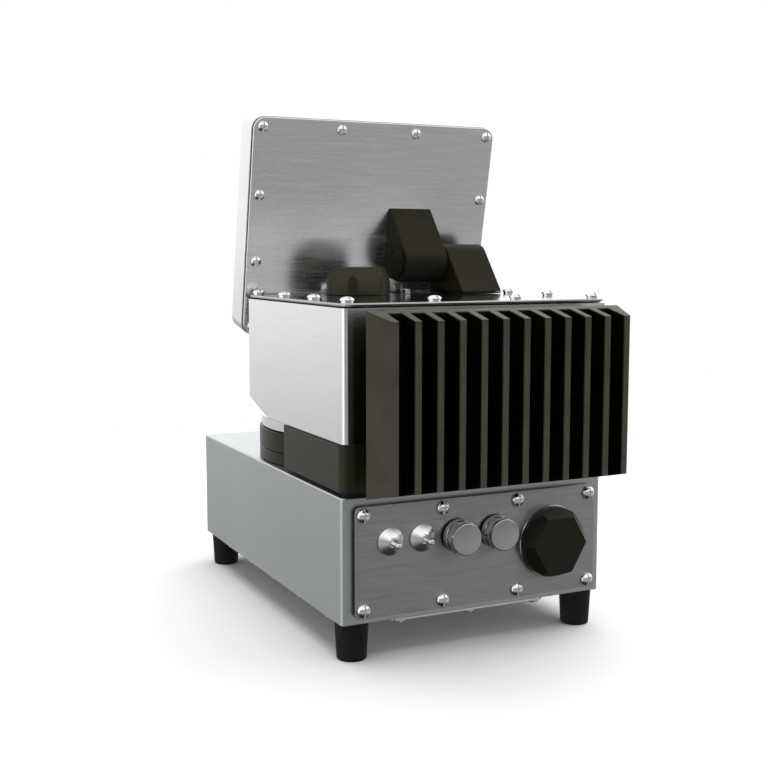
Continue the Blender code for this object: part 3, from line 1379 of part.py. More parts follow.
def display_shell(pivot):
    """The display's shell: open at the back inside its rim, with a seat for the glass in front."""
    half, low, high = display_frame(0)
    bm = box_bmesh((-half, SHELL_FRONT, low), (half, SHELL_BACK, high), 1, DISPLAY_CORNER)
    bevel_edges(bm, on_plane(1, SHELL_FRONT), DISPLAY_FRONT_EDGE, CORNER_STEPS)
    mesh = mesh_of("display_housing", bm)
    shell = add_object("display_housing", mesh, PALE_ALUMINIUM, parent=pivot)
    wall = DISPLAY_WALL
    corner = DISPLAY_CORNER - wall
    depth = DISPLAY_SHELL_DEPTH - SHELL_FLOOR - wall
    cavity = display_box("display_cavity", wall, SHELL_BACK - wall, depth, None, corner, pivot)
    back_opening = display_box(
        "display_back_opening",
        DISPLAY_BACK_RIM,
        SHELL_BACK + OVERSHOOT,
        2 * wall + OVERSHOOT,
        None,
        corner,
        pivot,
    )
    glass_seat = display_box(
        "display_glass_seat",
        GLASS_MARGIN - SEAT,
        SHELL_FRONT + GLASS_THICKNESS + SEAT,
        GLASS_THICKNESS + SEAT + OVERSHOOT,
        None,
        GLASS_CORNER,
        pivot,
    )
    view = display_box(
        "display_view",
        GLASS_MARGIN + GLASS_LIP,
        SHELL_FRONT + 2 * SHELL_FLOOR,
        3 * SHELL_FLOOR,
        None,
        GLASS_CORNER,
        pivot,
    )
    cut(shell, cavity, back_opening, glass_seat, view)


def display_screen(pivot):
    """The display's front glass and the display module behind it."""
    display_box(
        "display_glass",
        GLASS_MARGIN,
        SHELL_FRONT + GLASS_THICKNESS,
        GLASS_THICKNESS,
        GLASS,
        GLASS_CORNER,
        pivot,
    )
    display_box(
        "display_module",
        GLASS_MARGIN + GLASS_LIP / 2,
        SHELL_FRONT + SHELL_FLOOR + SEAT + MODULE_DEPTH,
        MODULE_DEPTH,
        CIRCUIT_BOARD,
        GLASS_CORNER,
        pivot,
    )


def main():
    """Build every piece of the analyzer."""
    base_housing()
    feet()
    bottom_cover()
    rear_panel()
    purge_fittings()
    plugs()
    socket_cap()
    loom_low = interface_board()
    power_supply()
    turntable()
    sample_dish()
    support_block()
    head_housing()
    lid()
    lamp()
    loom_high = optics()
    wiring_loom(loom_low, loom_high)
    heat_sink()
    hinge()
    pivot = display_pivot()
    display_arm(pivot)
    display_back(pivot)
    display_shell(pivot)
    display_screen(pivot)


main()
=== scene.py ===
"""The looks of a bench near-infrared analyzer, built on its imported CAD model.

Each sub-assembly is a class. Its build method makes finer pieces in the place of the CAD nodes
that show, and gives the CAD nodes inside the housings a finish of their own. All lengths are in
metres, in the frame of the CAD model: X is the width, +Y the rear and +Z up.
"""

import json
import logging
import math
from abc import ABC, abstractmethod
from collections.abc import Callable, Iterable, Sequence
from dataclasses import dataclass, field
from enum import Enum

import bmesh
import bpy
from mathutils import Matrix, Vector


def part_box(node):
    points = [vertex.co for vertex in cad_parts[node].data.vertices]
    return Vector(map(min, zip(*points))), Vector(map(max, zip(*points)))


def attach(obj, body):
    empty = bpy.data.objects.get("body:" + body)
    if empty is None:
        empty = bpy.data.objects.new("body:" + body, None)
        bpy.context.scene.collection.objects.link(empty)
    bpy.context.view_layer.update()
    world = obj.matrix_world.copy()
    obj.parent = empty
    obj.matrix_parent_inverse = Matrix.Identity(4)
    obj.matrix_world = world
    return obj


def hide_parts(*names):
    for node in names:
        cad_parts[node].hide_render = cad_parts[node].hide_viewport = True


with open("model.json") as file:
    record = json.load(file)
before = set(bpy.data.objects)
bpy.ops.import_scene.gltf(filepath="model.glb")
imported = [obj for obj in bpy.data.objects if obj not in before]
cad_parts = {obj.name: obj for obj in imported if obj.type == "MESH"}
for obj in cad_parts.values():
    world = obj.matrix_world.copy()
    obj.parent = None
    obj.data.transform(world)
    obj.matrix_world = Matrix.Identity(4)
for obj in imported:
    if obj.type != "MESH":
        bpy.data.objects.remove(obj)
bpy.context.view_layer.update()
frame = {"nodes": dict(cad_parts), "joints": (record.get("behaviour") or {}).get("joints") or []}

LOG = logging.getLogger("analyzer")

MM = 0.001
FULL_TURN = 2 * math.pi
HALF_SIDE = math.pi / 6  # half the angle of one side of a hexagon
MERGE = 0.001 * MM
SEAT = 0.3 * MM  # between two pieces that seat on each other
OVERSHOOT = 1 * MM  # how far a cutter starts outside the face that it cuts
SHARP_ANGLE = math.radians(32)
SMALL_ROUND_STEPS = 64
ROUND_STEPS = 96
LARGE_ROUND_STEPS = 160
EDGE_STEPS = 6  # parts of a small rounded edge in a profile
CORNER_SEGMENTS = 8
EDGE_SEGMENTS = 3
FINE_SEGMENTS = 2
NOISE_MIDDLE = (0.3, 0.7)  # most of a noise's values lie between these

Profile = Sequence[tuple[float, float]]
EdgeTest = Callable[[Vector, Vector], bool]


class Body(Enum):
    """The rigid bodies of the CAD model."""

    ROOT = "root"
    TURNTABLE = "turntable"
    DISPLAY = "display"


class Slot(Enum):
    """The material slots of the record."""

    HOUSING_STEEL = "housing_steel"
    BRUSHED_STEEL = "brushed_steel"
    POLISHED_STEEL = "polished_steel"
    BLACK_ANODISED = "black_anodised"
    BLACK_CAP = "black_cap"
    BLACK_RUBBER = "black_rubber"
    PALE_ALUMINIUM = "pale_aluminium"
    CIRCUIT_BOARD = "circuit_board"
    CLEAR_GLASS = "clear_glass"
    DARK_GLASS = "dark_glass"
    BRASS = "brass"


class Axis(Enum):
    """The axes of the frame, as indices of a vector."""

    X = 0
    Y = 1
    Z = 2


class Operation(Enum):
    """What one solid does to another."""

    CUT = "DIFFERENCE"
    SHARE = "INTERSECT"


class Detail(Enum):
    """How many finer layers a noise has."""

    PLAIN = 2.0
    MIDDLE = 3.0
    RICH = 4.0


# Finishes


def linear(value: str) -> tuple[float, float, float, float]:
    """Turn an sRGB hex colour to linear light.

    Args:
        value: The colour, such as "#c0c4c8".

    Returns:
        Red, green, blue and an alpha of 1.
    """
    channels = []
    for start in (1, 3, 5):
        level = int(value[start : start + 2], 16) / 255
        if level <= 0.04045:
            channels.append(level / 12.92)
        else:
            channels.append(((level + 0.055) / 1.055) ** 2.4)
    return channels[0], channels[1], channels[2], 1.0


def set_inputs(node: bpy.types.Node, inputs: dict[str | int, object]) -> None:
    """Set a node's inputs.

    Args:
        node: The node.
        inputs: A value, or a socket to link from, for each input by name or number.
    """
    for key, value in inputs.items():
        if isinstance(value, bpy.types.NodeSocket):
            node.id_data.links.new(value, node.inputs[key])
        else:
            node.inputs[key].default_value = value


def add_node(
    tree: bpy.types.NodeTree,
    kind: str,
    inputs: dict[str | int, object] | None = None,
    **settings: object,
) -> bpy.types.Node:
    """Add a node to a tree.

    Args:
        tree: The node tree.
        kind: The node's type, such as "ShaderNodeTexNoise".
        inputs: A value, or a socket to link from, for each input by name or number.
        settings: The node's own properties.

    Returns:
        The new node.
    """
    node = tree.nodes.new(kind)
    for name, value in settings.items():
        setattr(node, name, value)
    set_inputs(node, inputs or {})
    return node


@dataclass(frozen=True)
class Finish(ABC):
    """A surface finish, which makes its material once."""

    name: str
    slot: Slot

    def material(self) -> bpy.types.Material:
        """Make the material, or find the one made before.

        Returns:
            The finish's material.
        """
        found = bpy.data.materials.get(self.name)
        if found is not None:
            return found
        made = bpy.data.materials.new(self.name)
        made.use_nodes = True
        self.dress(made.node_tree, made.node_tree.nodes["Principled BSDF"])
        return made

    @abstractmethod
    def dress(self, tree: bpy.types.NodeTree, shader: bpy.types.Node) -> None:
        """Set the shader and add the pattern's nodes.

        Args:
            tree: The material's node tree.
            shader: Its Principled BSDF.
        """

    def noise(
        self,
        tree: bpy.types.NodeTree,
        size: tuple[float, float, float],
        detail: Detail = Detail.MIDDLE,
    ) -> bpy.types.NodeSocket:
        """Noise whose grains have the given size along each axis.

        Args:
            tree: The material's node tree.
            size: Width of a grain along X, Y and Z, in metres.
            detail: How many finer layers the noise has.

        Returns:
            The noise's value, from 0 to 1.
        """
        place = add_node(tree, "ShaderNodeTexCoord").outputs["Object"]
        scale = tuple(1 / width for width in size)
        sized = add_node(tree, "ShaderNodeMapping", {"Vector": place, "Scale": scale})
        inputs = {"Vector": sized.outputs["Vector"], "Scale": 1.0}
        inputs |= {"Detail": detail.value, "Roughness": 0.6}
        return add_node(tree, "ShaderNodeTexNoise", inputs).outputs["Fac"]

    def between(
        self, tree: bpy.types.NodeTree, value: bpy.types.NodeSocket, low: float, high: float
    ) -> bpy.types.NodeSocket:
        """Stretch the middle of a noise's range over other limits.

        Args:
            tree: The material's node tree.
            value: The noise.
            low: What its dark grains become.
            high: What its light grains become.

        Returns:
            The stretched value.
        """
        start, end = NOISE_MIDDLE
        limits = {"Value": value, "From Min": start, "From Max": end, "To Min": low, "To Max": high}
        return add_node(tree, "ShaderNodeMapRange", limits).outputs["Result"]

    def mixed(
        self, tree: bpy.types.NodeTree, factor: bpy.types.NodeSocket, dark: str, light: str
    ) -> bpy.types.NodeSocket:
        """Mix two colours by a pattern.

        Args:
            tree: The material's node tree.
            factor: 0 for the first colour and 1 for the second.
            dark: The first colour, as hex.
            light: The second colour, as hex.

        Returns:
            The mixed colour.
        """
        inputs = {0: factor, 6: linear(dark), 7: linear(light)}
        return add_node(tree, "ShaderNodeMix", inputs, data_type="RGBA").outputs[2]

    def bumped(
        self, tree: bpy.types.NodeTree, height: bpy.types.NodeSocket, depth: float, strength: float
    ) -> bpy.types.NodeSocket:
        """Bend the surface's normal by a height pattern.

        Args:
            tree: The material's node tree.
            height: The pattern, from 0 to 1.
            depth: How far its light parts stand out, in metres.
            strength: How much of that the eye sees, from 0 to 1.

        Returns:
            The bent normal.
        """
        inputs = {"Height": height, "Distance": depth, "Strength": strength}
        return add_node(tree, "ShaderNodeBump", inputs).outputs["Normal"]


@dataclass(frozen=True)
class BrushedSteel(Finish):
    """Stainless steel sheet, brushed in level lines: fine streaks and a glow across them."""

    dark: str
    light: str
    roughness: float
    line_width: float = 0.5 * MM  # real lines are near 0.1 mm, which the render can't show
    line_length: float = 22 * MM
    line_height: float = 0.02 * MM
    anisotropy: float = 0.6
    glow_turn: float = 0.25  # of a full turn, from along the lines to across them
    depth: float = 0.25
    spread: float = 0.05

    def dress(self, tree: bpy.types.NodeTree, shader: bpy.types.Node) -> None:
        """Give the sheet its lines and its soft uneven tone.

        Args:
            tree: The material's node tree.
            shader: Its Principled BSDF.
        """
        length, width = self.line_length, self.line_width
        fine = self.noise(tree, (length, length, width), Detail.RICH)
        broad = self.noise(tree, (2 * length, 2 * length, 4 * width), Detail.PLAIN)
        both = add_node(tree, "ShaderNodeMath", {0: fine, 1: broad}, operation="ADD")
        halved = {0: both.outputs["Value"], 1: 0.5}
        mean = add_node(tree, "ShaderNodeMath", halved, operation="MULTIPLY")
        tone = self.between(tree, mean.outputs["Value"], 0.0, 1.0)
        level = add_node(tree, "ShaderNodeTangent", direction_type="RADIAL", axis="Z")
        rough = self.between(tree, fine, self.roughness - self.spread, self.roughness + self.spread)
        inputs = {
            "Base Color": self.mixed(tree, tone, self.dark, self.light),
            "Roughness": rough,
            "Normal": self.bumped(tree, fine, self.line_height, self.depth),
            "Tangent": level.outputs["Tangent"],
            "Metallic": 1.0,
            "Anisotropic": self.anisotropy,
            "Anisotropic Rotation": self.glow_turn,
        }
        set_inputs(shader, inputs)


@dataclass(frozen=True)
class BlastedSteel(Finish):
    """Steel sheet blasted with fine glass beads: an even, matt grey with a faint grit."""

    dark: str
    light: str
    roughness: float
    spread: float = 0.04
    grit: float = 0.5 * MM  # real grit is near 0.05 mm, drawn coarser to show
    grit_height: float = 0.02 * MM
    depth: float = 0.2
    cloud: float = 70 * MM
    cloud_tones: tuple[float, float] = (0.2, 0.8)

    def dress(self, tree: bpy.types.NodeTree, shader: bpy.types.Node) -> None:
        """Give the sheet its grit and a slow change of tone.

        Args:
            tree: The material's node tree.
            shader: Its Principled BSDF.
        """
        grit = self.noise(tree, (self.grit,) * 3, Detail.PLAIN)
        cloud = self.noise(tree, (self.cloud,) * 3, Detail.PLAIN)
        tone = self.between(tree, cloud, *self.cloud_tones)
        rough = self.between(tree, grit, self.roughness - self.spread, self.roughness + self.spread)
        inputs = {
            "Base Color": self.mixed(tree, tone, self.dark, self.light),
            "Roughness": rough,
            "Normal": self.bumped(tree, grit, self.grit_height, self.depth),
            "Metallic": 1.0,
        }
        set_inputs(shader, inputs)


@dataclass(frozen=True)
class PolishedSteel(Finish):
    """Turned or pressed steel, polished bright: clear reflections with faint wiping marks."""

    dark: str = "#d6d7d8"
    light: str = "#e4e4e6"
    roughness: float = 0.14
    spread: float = 0.02
    marks: tuple[float, float, float] = (3 * MM, 3 * MM, 1.2 * MM)

    def dress(self, tree: bpy.types.NodeTree, shader: bpy.types.Node) -> None:
        """Give the steel its faint marks.

        Args:
            tree: The material's node tree.
            shader: Its Principled BSDF.
        """
        marks = self.noise(tree, self.marks, Detail.PLAIN)
        tone = self.between(tree, marks, 0.0, 1.0)
        rough = self.between(tree, marks, self.roughness - self.spread, self.roughness + self.spread)
        inputs = {
            "Base Color": self.mixed(tree, tone, self.dark, self.light),
            "Roughness": rough,
            "Metallic": 1.0,
        }
        set_inputs(shader, inputs)


@dataclass(frozen=True)
class BlackAnodised(Finish):
    """Machined aluminium, anodised black: warm, near black, satin, with fine grain."""

    dark: str = "#15140d"
    light: str = "#1e1c13"
    roughness: float = 0.38
    spread: float = 0.06
    sheen: str = "#e6e0bc"
    specular: float = 0.3
    grain: float = 0.6 * MM  # drawn coarser than the blasted surface under the anodising
    grain_height: float = 0.03 * MM
    depth: float = 0.25
    cloud: float = 25 * MM

    def dress(self, tree: bpy.types.NodeTree, shader: bpy.types.Node) -> None:
        """Give the metal its grain and its slightly uneven dye.

        Args:
            tree: The material's node tree.
            shader: Its Principled BSDF.
        """
        grain = self.noise(tree, (self.grain,) * 3, Detail.PLAIN)
        dye = self.between(tree, self.noise(tree, (self.cloud,) * 3), 0.0, 1.0)
        rough = self.between(tree, grain, self.roughness - self.spread, self.roughness + self.spread)
        inputs = {
            "Base Color": self.mixed(tree, self.tone(tree, dye), self.dark, self.light),
            "Roughness": rough,
            "Normal": self.bumped(tree, grain, self.grain_height, self.depth),
            "Specular IOR Level": self.specular,
            "Specular Tint": linear(self.sheen),
        }
        set_inputs(shader, inputs)

    def tone(self, tree: bpy.types.NodeTree, dye: bpy.types.NodeSocket) -> bpy.types.NodeSocket:
        """How pale the dye is, from 0 to 1."""
        return dye


@dataclass(frozen=True)
class ShadedFinAnodised(BlackAnodised):
    """Black anodised fins with painted light and shade: painted light on their tips, upper ends and
    outer sides, where light falls on them, and painted shade between the fins.

    Each pair of places says where the painted light starts and where it is full. The ends slope, so
    their places are heights that the slope carries back to the middle of the frame.
    """

    tips: tuple[float, float] = field(kw_only=True)
    sides: tuple[float, float] = field(kw_only=True)
    ends: tuple[float, float] = field(kw_only=True)
    end_slope: float = field(kw_only=True)
    # How pale the painted light on the fins is where it is full, by the dye's uneven tone
    lit_tones: tuple[float, float] = (0.85, 1.0)

    def tone(self, tree: bpy.types.NodeTree, dye: bpy.types.NodeSocket) -> bpy.types.NodeSocket:
        """The dye's tone, dark as painted shade between the fins and pale as painted light on them.

        Args:
            tree: The material's node tree.
            dye: The dye's own uneven tone.

        Returns:
            How pale the dye is, from 0 to 1.
        """
        place = add_node(tree, "ShaderNodeTexCoord").outputs["Object"]
        split = add_node(tree, "ShaderNodeSeparateXYZ", {"Vector": place}).outputs
        across = add_node(tree, "ShaderNodeMath", {0: split["X"]}, operation="ABSOLUTE")
        rise = {0: split["Y"], 1: self.end_slope, 2: split["Z"]}
        height = add_node(tree, "ShaderNodeMath", rise, operation="MULTIPLY_ADD")
        # The painted light is the most of three shares: near the tips, on the outer sides and at the upper
        # ends
        most = 0.0
        for value, limits in (
            (split["Y"], self.tips),
            (across.outputs["Value"], self.sides),
            (height.outputs["Value"], self.ends),
        ):
            inputs = {"Value": value, "From Min": limits[0], "From Max": limits[1]}
            share = add_node(tree, "ShaderNodeMapRange", inputs).outputs["Result"]
            both = add_node(tree, "ShaderNodeMath", {0: most, 1: share}, operation="MAXIMUM")
            most = both.outputs["Value"]
        inputs = {"Value": most, "To Min": 0.0, "To Max": self.between(tree, dye, *self.lit_tones)}
        return add_node(tree, "ShaderNodeMapRange", inputs).outputs["Result"]


@dataclass(frozen=True)
class MouldedRubber(Finish):
    """Moulded rubber: deep black and matt, with a little dust in its pores."""

    dark: str = "#0a0a09"
    light: str = "#121210"
    roughness: tuple[float, float] = (0.6, 0.8)
    specular: float = 0.25
    pores: float = 0.8 * MM  # real pores are near 0.1 mm, drawn coarser to show
    pore_depth: float = 0.05 * MM
    depth: float = 0.4
    dust: float = 9 * MM

    def dress(self, tree: bpy.types.NodeTree, shader: bpy.types.Node) -> None:
        """Give the rubber its pores and dust.

        Args:
            tree: The material's node tree.
            shader: Its Principled BSDF.
        """
        pores = self.noise(tree, (self.pores,) * 3)
        tone = self.between(tree, self.noise(tree, (self.dust,) * 3), 0.0, 1.0)
        inputs = {
            "Base Color": self.mixed(tree, tone, self.dark, self.light),
            "Roughness": self.between(tree, pores, *self.roughness),
            "Normal": self.bumped(tree, pores, self.pore_depth, self.depth),
            "Specular IOR Level": self.specular,
        }
        set_inputs(shader, inputs)


@dataclass(frozen=True)
class SatinAluminium(Finish):
    """Die-cast or milled aluminium, satin: pale grey with a soft sheen and light grain."""

    dark: str = "#b9bcbf"
    light: str = "#cfd1d3"
    roughness: float = 0.36
    spread: float = 0.05
    grain: float = 1.2 * MM  # drawn coarser than the blasted surface under the satin
    grain_height: float = 0.015 * MM
    depth: float = 0.2
    cloud: float = 35 * MM

    def dress(self, tree: bpy.types.NodeTree, shader: bpy.types.Node) -> None:
        """Give the aluminium its grain.

        Args:
            tree: The material's node tree.
            shader: Its Principled BSDF.
        """
        grain = self.noise(tree, (self.grain,) * 3)
        cloud = self.noise(tree, (self.cloud,) * 3, Detail.PLAIN)
        tone = self.between(tree, cloud, 0.0, 1.0)
        rough = self.between(tree, grain, self.roughness - self.spread, self.roughness + self.spread)
        inputs = {
            "Base Color": self.mixed(tree, tone, self.dark, self.light),
            "Roughness": rough,
            "Normal": self.bumped(tree, grain, self.grain_height, self.depth),
            "Metallic": 1.0,
        }
        set_inputs(shader, inputs)


@dataclass(frozen=True)
class TurnedBrass(Finish):
    """Turned brass: warm yellow metal with fine level tool lines."""

    dark: str = "#a98339"
    light: str = "#cda85a"
    roughness: tuple[float, float] = (0.22, 0.36)
    lines: tuple[float, float, float] = (20 * MM, 20 * MM, 0.4 * MM)

    def dress(self, tree: bpy.types.NodeTree, shader: bpy.types.Node) -> None:
        """Give the brass its tool lines.

        Args:
            tree: The material's node tree.
            shader: Its Principled BSDF.
        """
        lines = self.noise(tree, self.lines)
        tone = self.between(tree, lines, 0.0, 1.0)
        inputs = {
            "Base Color": self.mixed(tree, tone, self.dark, self.light),
            "Roughness": self.between(tree, lines, *self.roughness),
            "Metallic": 1.0,
        }
        set_inputs(shader, inputs)


@dataclass(frozen=True)
class CoatedBoard(Finish):
    """Circuit board with green solder resist: copper tracks show as paler lines under it."""

    resists: tuple[str, str] = ("#0f3d20", "#124526")
    tracks: str = "#2c6b3d"
    track_spacing: float = 2.54 * MM
    track_width: float = 0.04
    roughness: tuple[float, float] = (0.3, 0.45)
    coat: float = 0.4
    waves: float = 6 * MM

    def dress(self, tree: bpy.types.NodeTree, shader: bpy.types.Node) -> None:
        """Give the board its tracks and its resist.

        Args:
            tree: The material's node tree.
            shader: Its Principled BSDF.
        """
        pattern = {
            "Vector": add_node(tree, "ShaderNodeTexCoord").outputs["Object"],
            "Scale": 1 / (4 * self.track_spacing),
            "Mortar Size": self.track_width,
            "Color1": linear(self.resists[0]),
            "Color2": linear(self.resists[1]),
            "Mortar": linear(self.tracks),
        }
        waves = self.noise(tree, (self.waves,) * 3, Detail.PLAIN)
        inputs = {
            "Base Color": add_node(tree, "ShaderNodeTexBrick", pattern).outputs["Color"],
            "Roughness": self.between(tree, waves, *self.roughness),
            "Coat Weight": self.coat,
        }
        set_inputs(shader, inputs)


@dataclass(frozen=True)
class OpticalGlass(Finish):
    """Polished glass: clear, or dark where a display lies behind it, with faint smears."""

    colour: str
    clear: float
    roughness: tuple[float, float] = (0.03, 0.09)
    smears: tuple[float, float, float] = (30 * MM, 12 * MM, 12 * MM)
    bending: float = 1.5

    def dress(self, tree: bpy.types.NodeTree, shader: bpy.types.Node) -> None:
        """Give the glass its smears.

        Args:
            tree: The material's node tree.
            shader: Its Principled BSDF.
        """
        inputs = {
            "Base Color": linear(self.colour),
            "Roughness": self.between(tree, self.noise(tree, self.smears), *self.roughness),
            "Transmission Weight": self.clear,
            "IOR": self.bending,
        }
        set_inputs(shader, inputs)


HOUSING = BlastedSteel("blasted_steel", Slot.HOUSING_STEEL, "#b6babb", "#bfc3c4", 0.38)
PANEL = BrushedSteel("brushed_panel_steel", Slot.BRUSHED_STEEL, "#999a9b", "#b0b1b2", 0.36)
PLATE = BrushedSteel("brushed_plate_steel", Slot.BRUSHED_STEEL, "#d4d5d6", "#ececed", 0.27)
HEAD = BrushedSteel(
    "brushed_head_steel", Slot.BRUSHED_STEEL, "#e9eaea", "#eeeeee", 0.22, depth=0.07, spread=0.04
)
POLISHED = PolishedSteel("polished_steel", Slot.POLISHED_STEEL)
TURNED = PolishedSteel("satin_turned_steel", Slot.POLISHED_STEEL, "#b4b5b6", "#bbbcbd", 0.24)
DOMED = PolishedSteel("satin_domed_steel", Slot.POLISHED_STEEL, "#eaebec", "#f1f2f2", 0.21)
CONED = PolishedSteel("matt_coned_steel", Slot.POLISHED_STEEL, "#f0f0f1", "#f4f4f5", 0.3)
MIRROR = PolishedSteel("mirror_steel", Slot.POLISHED_STEEL, "#a9a9aa", "#b1b1b2", 0.1, 0.01)
ANODISED = BlackAnodised("black_anodised_aluminium", Slot.BLACK_ANODISED)
CAP = BlackAnodised("black_cap_aluminium", Slot.BLACK_CAP, "#100f0a", "#17160f", 0.34)
LAMP_CAP = BlackAnodised("black_lamp_cap_aluminium", Slot.BLACK_CAP, "#22211a", "#2b291f", 0.36)
HINGED = BlackAnodised(
    "black_hinge_aluminium", Slot.BLACK_ANODISED, "#201e17", "#26241b", 0.4, specular=0.08
)
RUBBER = MouldedRubber("moulded_rubber", Slot.BLACK_RUBBER)
ALUMINIUM = SatinAluminium("satin_aluminium", Slot.PALE_ALUMINIUM)
CASE = SatinAluminium("pale_case_aluminium", Slot.PALE_ALUMINIUM, "#e2e3e4", "#e9eaea", 0.3)
BRASS = TurnedBrass("turned_brass", Slot.BRASS)
BOARD = CoatedBoard("coated_circuit_board", Slot.CIRCUIT_BOARD)
CLEAR_GLASS = OpticalGlass("clear_optical_glass", Slot.CLEAR_GLASS, "#eef3f2", 0.95)
DARK_GLASS = OpticalGlass("dark_display_glass", Slot.DARK_GLASS, "#07080a", 0.0)


# Shapes


@dataclass(frozen=True)
class Extent:
    """The box round a CAD node."""

    low: Vector
    high: Vector

    @classmethod
    def of(cls, node: str) -> "Extent":
        """The node's box in the frame."""
        low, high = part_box(node)
        return cls(Vector(low), Vector(high))

    @classmethod
    def seen_from(cls, node: str, place: Matrix) -> "Extent":
        """The node's box along the axes of a turned place.

        Args:
            node: The CAD node's name.
            place: The place, as a matrix.

        Returns:
            The box, in the place's own coordinates.
        """
        back = place.inverted()
        points = [back @ vert.co for vert in frame["nodes"][node].data.vertices]
        low = Vector([min(point[i] for point in points) for i in range(3)])
        high = Vector([max(point[i] for point in points) for i in range(3)])
        return cls(low, high)

    @property
    def centre(self) -> Vector:
        """The middle of the box."""
        return (self.low + self.high) / 2

    @property
    def size(self) -> Vector:
        """The lengths of the box's sides."""
        return self.high - self.low

    def inset(self, x: float, y: float, z: float) -> "Extent":
        """The box with each side moved inwards."""
        step = Vector((x, y, z))
        return Extent(self.low + step, self.high - step)


def box_shape(extent: Extent) -> bmesh.types.BMesh:
    """A plain box, to be shaped further.

    Args:
        extent: The box's place and size.

    Returns:
        The box.
    """
    bm = bmesh.new()
    bmesh.ops.create_cube(bm, size=1)
    bmesh.ops.scale(bm, vec=extent.size, verts=bm.verts)
    bmesh.ops.translate(bm, vec=extent.centre, verts=bm.verts)
    return bm


def along(axis: Axis) -> EdgeTest:
    """A test for edges that run along an axis.

    Args:
        axis: The axis.

    Returns:
        The test, which takes an edge's two ends.
    """

    def chosen(first: Vector, second: Vector) -> bool:
        """Whether the edge runs along the axis."""
        step = first - second
        return abs(step[axis.value]) > 0.95 * step.length

    return chosen


def at_level(axis: Axis, level: float) -> EdgeTest:
    """A test for edges that lie in a plane across an axis.

    Args:
        axis: The axis.
        level: Where the plane crosses it.

    Returns:
        The test, which takes an edge's two ends.
    """

    def chosen(first: Vector, second: Vector) -> bool:
        """Whether the edge lies in the plane."""
        return max(abs(first[axis.value] - level), abs(second[axis.value] - level)) < MERGE

    return chosen


def round_edges(bm: bmesh.types.BMesh, test: EdgeTest, width: float, segments: int) -> None:
    """Round the edges that pass a test.

    Args:
        bm: The shape.
        test: Says which edges, from their two ends.
        width: The radius of the rounding.
        segments: How many faces it gets.
    """
    edges = [edge for edge in bm.edges if test(edge.verts[0].co, edge.verts[1].co)]
    bevel(bm, edges, width, segments)


def round_sharp(
    bm: bmesh.types.BMesh,
    width: float,
    segments: int = EDGE_SEGMENTS,
    angle: float = SHARP_ANGLE,
) -> None:
    """Round every edge whose faces meet at more than an angle.

    Args:
        bm: The shape.
        width: The radius of the rounding.
        segments: How many faces it gets.
        angle: The least angle between two faces' normals.
    """
    edges = [edge for edge in bm.edges if edge.calc_face_angle(0) > angle]
    bevel(bm, edges, width, segments)


def bevel(
    bm: bmesh.types.BMesh, edges: list[bmesh.types.BMEdge], width: float, segments: int
) -> None:
    """Bevel edges to a round.

    Args:
        bm: The shape.
        edges: Its edges that are rounded.
        width: The radius of the rounding.
        segments: How many faces it gets.
    """
    bmesh.ops.bevel(
        bm,
        geom=edges,
        offset=width,
        segments=segments,
        profile=0.5,
        affect="EDGES",
        material=-1,
        clamp_overlap=True,
    )


def spun(profile: Profile, steps: int = ROUND_STEPS, ring: bool = False) -> bmesh.types.BMesh:
    """Turn a profile round the Z axis.

    Args:
        profile: Points as (radius, height).
        steps: Facets round the axis.
        ring: True if the profile is the closed section of a ring.

    Returns:
        The turned shape, closed.
    """
    bm = bmesh.new()
    points = [bm.verts.new((radius, 0, height)) for radius, height in profile]
    edges = [bm.edges.new(pair) for pair in zip(points, points[1:])]
    if ring:
        edges.append(bm.edges.new((points[-1], points[0])))
    bmesh.ops.spin(
        bm,
        geom=points + edges,
        cent=(0, 0, 0),
        axis=(0, 0, 1),
        angle=FULL_TURN,
        steps=steps,
        use_merge=True,
        use_duplicate=False,
    )
    bmesh.ops.remove_doubles(bm, verts=bm.verts, dist=MERGE)
    bmesh.ops.recalc_face_normals(bm, faces=bm.faces)
    return bm


def extruded(outline: Iterable[Sequence[float]], depth: float) -> bmesh.types.BMesh:
    """Extrude a flat outline upwards.

    Args:
        outline: The corners as (x, y), in order.
        depth: How far to extrude, along +Z from zero.

    Returns:
        The prism.
    """
    bm = bmesh.new()
    face = bm.faces.new([bm.verts.new((x, y, 0)) for x, y in outline])
    moved = bmesh.ops.extrude_face_region(bm, geom=[face])["geom"]
    verts = [item for item in moved if isinstance(item, bmesh.types.BMVert)]
    bmesh.ops.translate(bm, vec=(0, 0, depth), verts=verts)
    bmesh.ops.recalc_face_normals(bm, faces=bm.faces)
    return bm


def arc(radius: float, start: float, end: float, steps: int) -> list[tuple[float, float]]:
    """Points of an arc round the origin, from one angle to another."""
    angles = [start + (end - start) * step / steps for step in range(steps + 1)]
    return [(radius * math.cos(angle), radius * math.sin(angle)) for angle in angles]


def rounded(corners: Sequence[Sequence[float]], radius: float) -> list[Vector]:
    """Replace each corner of an outline by an arc.

    Args:
        corners: The outline's corners as (x, y).
        radius: The radius of every arc.

    Returns:
        The points of the rounded outline.
    """
    points = []
    count = len(corners)
    for index, corner in enumerate(corners):
        here = Vector(corner)
        before = (Vector(corners[index - 1]) - here).normalized()
        after = (Vector(corners[(index + 1) % count]) - here).normalized()
        half = before.angle(after) / 2
        centre = here + (before + after).normalized() * radius / math.sin(half)
        spoke = here + before * radius / math.tan(half) - centre
        sweep = math.pi - 2 * half
        turn = 1 if before.cross(after) < 0 else -1
        for step in range(CORNER_SEGMENTS + 1):
            angle = turn * sweep * step / CORNER_SEGMENTS
            points.append(centre + Matrix.Rotation(angle, 2) @ spoke)
    return points


def placed(bm: bmesh.types.BMesh, place: Matrix) -> bmesh.types.BMesh:
    """Move a shape to a place and return it."""
    bmesh.ops.transform(bm, matrix=place, verts=bm.verts)
    return bm


